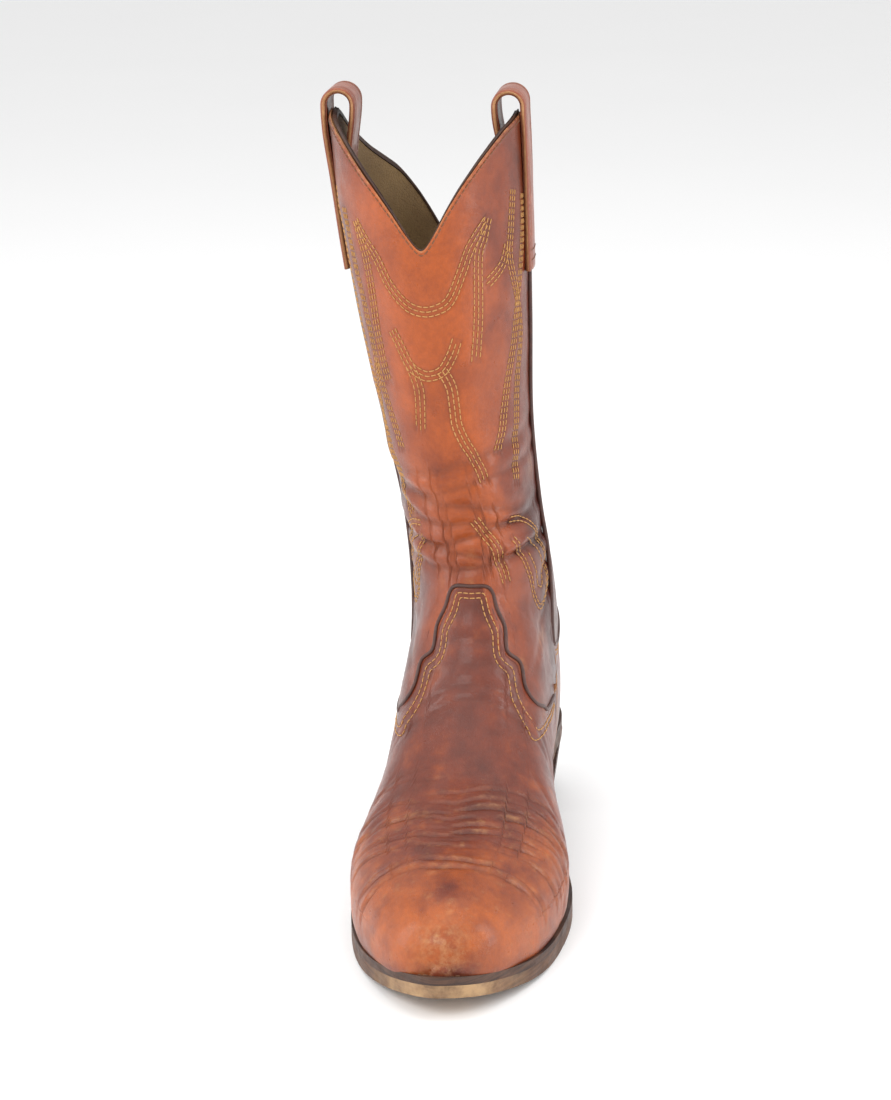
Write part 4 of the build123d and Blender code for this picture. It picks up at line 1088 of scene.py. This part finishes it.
STRAP_FRONT, STRAP_BACK = 215.0, 241.0
STRAP_COLUMNS = 33
STRAP_THICK = 2.6
STRAP_OUTER_X = {1: 24.4, -1: -72.8}
STRAP_OUT_LOW, STRAP_IN_LOW = 288, 296
LEAN_Z, FLARE_Z, HUG_Z = 330, 322, 352
CROWN_Z = 366.25
CROWN_RADIUS = 8.25 - STRAP_THICK / 2
STRAP_ROW, STRAP_GROOVES = 0.80, (0.80, 0.62)
TOP_ROWS = slice(np.searchsorted(PLACES, 17), None)


def strap_points(side):
    """The strap's middle surface on a grid, along and across it, its outward side, and -1 to 1 across it."""
    wall, _ = lifted(PLACES[TOP_ROWS], side * seam_angle[TOP_ROWS])

    def wall_x(z):
        return np.interp(z, wall[:, 2], wall[:, 0])

    top_x = STRAP_OUTER_X[side] - side * STRAP_THICK / 2
    z_out = np.linspace(STRAP_OUT_LOW, CROWN_Z, 50)
    lean = unit((z_out - LEAN_Z) / (CROWN_Z - LEAN_Z)) ** 2
    x_out = (wall_x(z_out) + side * (0.3 + STRAP_THICK / 2)) * (1 - lean) + top_x * lean
    turn = np.linspace(0, np.pi, 24)[1:-1]
    x_crown = top_x - side * CROWN_RADIUS * (1 - np.cos(turn))
    z_in = np.linspace(CROWN_Z, STRAP_IN_LOW, 46)
    flare = unit((z_in - FLARE_Z) / (CROWN_Z - FLARE_Z))
    flare = flare * flare * (3 - 2 * flare)
    x_in = (wall_x(z_in) - side * (WALL + 0.4 + STRAP_THICK / 2)) * (1 - flare)
    x_in += (top_x - side * 2 * CROWN_RADIUS) * flare
    x = np.concatenate([x_out, x_crown, x_in])
    z = np.concatenate([z_out, CROWN_Z + CROWN_RADIUS * np.sin(turn), z_in])
    across = np.linspace(-1, 1, STRAP_COLUMNS)
    hug = unit((HUG_Z - z) / 30)
    grid = np.empty((len(x), STRAP_COLUMNS, 3))
    grid[..., 0] = x[:, None] - side * 0.9 * across**2 * hug[:, None]
    grid[..., 1] = (STRAP_FRONT + STRAP_BACK) / 2 + across * (STRAP_BACK - STRAP_FRONT) / 2
    grid[..., 2] = z[:, None]
    normal = np.cross(np.gradient(grid, axis=0), np.array([0, 1.0, 0]))
    normal /= np.linalg.norm(normal, axis=-1, keepdims=True)
    return grid, normal * np.sign(normal[0, 0, 0] * side), across


for side, side_name in SIDES:
    grid, normal, across = strap_points(side)
    grooves = -0.45 * sum(bump(np.abs(across), at, 0.05) for at in STRAP_GROOVES)
    edge = rolled((1 - np.abs(across)) * (STRAP_BACK - STRAP_FRONT) / 2, 1.2)
    outer = grid + normal * (STRAP_THICK / 2 + grooves + edge)[:, None]
    faces = face_out(outer, grid_faces(*outer.shape[:2]), normal)
    piece = new_piece(f"pull_strap_{side_name}_leather", outer.reshape(-1, 3), faces, [strap_leather, raw_edge],
                      (f"pull_strap_{side_name}",))
    thicken(piece, STRAP_THICK - 0.1)
    rows = []
    for share in (-STRAP_ROW, STRAP_ROW):
        k = int(round((share + 1) / 2 * (STRAP_COLUMNS - 1)))
        rows.append((outer[:, k] + normal[:, k] * THREAD_LIFT, normal[:, k]))
    for k in (3, 6):
        rows.append((outer[k, 5:-5] + normal[k, 5:-5] * 0.15, normal[k, 5:-5]))
    stitches(f"pull_strap_{side_name}_stitching", rows, dark_thread, FINE_THREAD)


# Welt stitching, round the forefoot


WELT_ROW_INSET, WELT_TOP = 2.3, 10.0


def sole_outline(inset, count=600):
    """The welt's outline in plan from the waist round the toe, moved in."""
    table = np.concatenate([[(3.0, 0.01, 3.0)], SOLE_PLAN[:8]])
    half = catmull(table, np.linspace(0, len(table) - 1, count))
    right = np.stack([half[:, 2] + half[:, 1], half[:, 0]], -1)
    left = np.stack([half[:, 2] - half[:, 1], half[:, 0]], -1)
    line = np.concatenate([left[::-1], right[1:]])
    ahead = directions(line)
    inward = np.stack([-ahead[:, 1], ahead[:, 0]], -1)
    centre = np.array([1.0, 110.0])
    if np.dot(inward[0], centre - line[0]) < 0:
        inward = -inward
    line = line + inward * inset
    return np.concatenate([line, (sole_z(line[:, 1]) + WELT_TOP)[:, None]], -1)


welt_line = sole_outline(WELT_ROW_INSET)
welt_up = np.tile([0.0, 0.0, 1.0], (len(welt_line), 1))
stitches("welt_stitching", [(welt_line + welt_up * THREAD_LIFT, welt_up)], dark_thread, WELT_THREAD)


# The CAD's own pieces that stay, with rounded edges and worn materials


insole_leather = plain_leather("insole_leather", (0.40, 0.24, 0.12), (0.26, 0.14, 0.07))
sock_leather = plain_leather("sock_leather", (0.30, 0.17, 0.08), (0.18, 0.09, 0.045))
cork = fibre("cork", (0.42, 0.25, 0.12), (0.22, 0.11, 0.05), 500)
wood = fibre("wood", (0.55, 0.38, 0.20), (0.38, 0.24, 0.12), 700)
felt = fibre("stiffener_board", (0.40, 0.33, 0.22), (0.28, 0.22, 0.14), 600)
rubber = plain_leather("heel_rubber", (0.035, 0.026, 0.022), (0.018, 0.014, 0.012), 300, (0.6, 0.8))
steel = metal("steel", (0.55, 0.56, 0.58), (0.35, 0.35, 0.36))
brass = metal("brass", (0.72, 0.50, 0.20), (0.45, 0.28, 0.10))
KEPT = {
    "vamp_lining": lining_leather, "heel_lining": lining_leather, "toe_box": felt, "heel_stiffener": felt,
    "insole": insole_leather, "insole_rib": insole_leather, "sock_liner": sock_leather, "cork_filler": cork,
    "heel_seat_filler": cork, "steel_shank": steel, "welt": welt_leather, "heel_rand": welt_leather,
    "outsole": sole_leather, "heel_cap": rubber, "heel_nails": brass, "shank_pegs": wood,
}
# How far edges are rounded, in millimetres
ROUNDED = {"welt": 0.9, "outsole": 0.8, "heel_rand": 0.6, "heel_cap": 0.6}
for number in range(1, 6):
    KEPT[f"heel_lift_{number}"] = heel_leather
    ROUNDED[f"heel_lift_{number}"] = 0.35
WELD, BEVEL_STEPS, BEVEL_ANGLE = 0.00002, 3, 35
for node, material in KEPT.items():
    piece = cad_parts[node]
    if piece.material_slots:
        for holder in piece.material_slots:
            holder.material = material
    else:
        piece.data.materials.append(material)
    if node in ROUNDED:
        weld = piece.modifiers.new("weld", "WELD")
        weld.merge_threshold = WELD
        soft = piece.modifiers.new("rounded", "BEVEL")
        soft.width = ROUNDED[node] * MM
        soft.segments = BEVEL_STEPS
        soft.limit_method = "ANGLE"
        soft.angle_limit = math.radians(BEVEL_ANGLE)
        soft.harden_normals = False


# Floor, light and camera


floor_mesh = bpy.data.meshes.new("floor")
floor_mesh.from_pydata([(-4, -4, 0), (4, -4, 0), (4, 5, 0), (-4, 5, 0)], [], [(0, 1, 2, 3)])
floor = bpy.data.objects.new("floor", floor_mesh)
bpy.context.scene.collection.objects.link(floor)
n = Nodes("floor_paper")
floor_mesh.materials.append(n.finish(n.mix(n.noise(3, 2), (0.95, 0.95, 0.95), (0.93, 0.93, 0.93)), 0.8))

bpy.context.scene.view_settings.view_transform = "Standard"
world = bpy.data.worlds.new("studio")
bpy.context.scene.world = world
world.use_nodes = True
sky = world.node_tree.nodes["Background"]
sky.inputs["Color"].default_value = (1.0, 1.0, 1.0, 1)
sky.inputs["Strength"].default_value = 0.85


def soft_light(name, at, target, size, power):
    data = bpy.data.lights.new(name, "AREA")
    data.shape = "RECTANGLE"
    data.size, data.size_y = size
    data.energy = power
    light = bpy.data.objects.new(name, data)
    light.location = at
    light.rotation_euler = (Vector(target) - Vector(at)).to_track_quat("-Z", "Y").to_euler()
    bpy.context.scene.collection.objects.link(light)


MIDDLE = (0.0, 0.0, 0.17)
soft_light("key", (-0.45, -1.5, 1.5), MIDDLE, (0.9, 0.7), 12)
soft_light("left_strip", (-1.3, -0.3, 0.7), MIDDLE, (0.35, 1.3), 9)
soft_light("right_strip", (1.3, -0.2, 0.7), MIDDLE, (0.35, 1.3), 10)
soft_light("overhead", (0.0, 0.1, 1.8), MIDDLE, (1.4, 1.4), 9)

camera_data = bpy.data.cameras.new("camera")
camera_data.sensor_width = 36
camera_data.lens = 91.64
camera_data.shift_x = -0.146
camera_data.clip_end = 50
camera = bpy.data.objects.new("camera", camera_data)
camera.location = (0.1522, -1.2445, 0.563)
camera.rotation_euler = (math.radians(90 - 17.5), 0, math.radians(3.5))
bpy.context.scene.collection.objects.link(camera)
bpy.context.scene.camera = camera
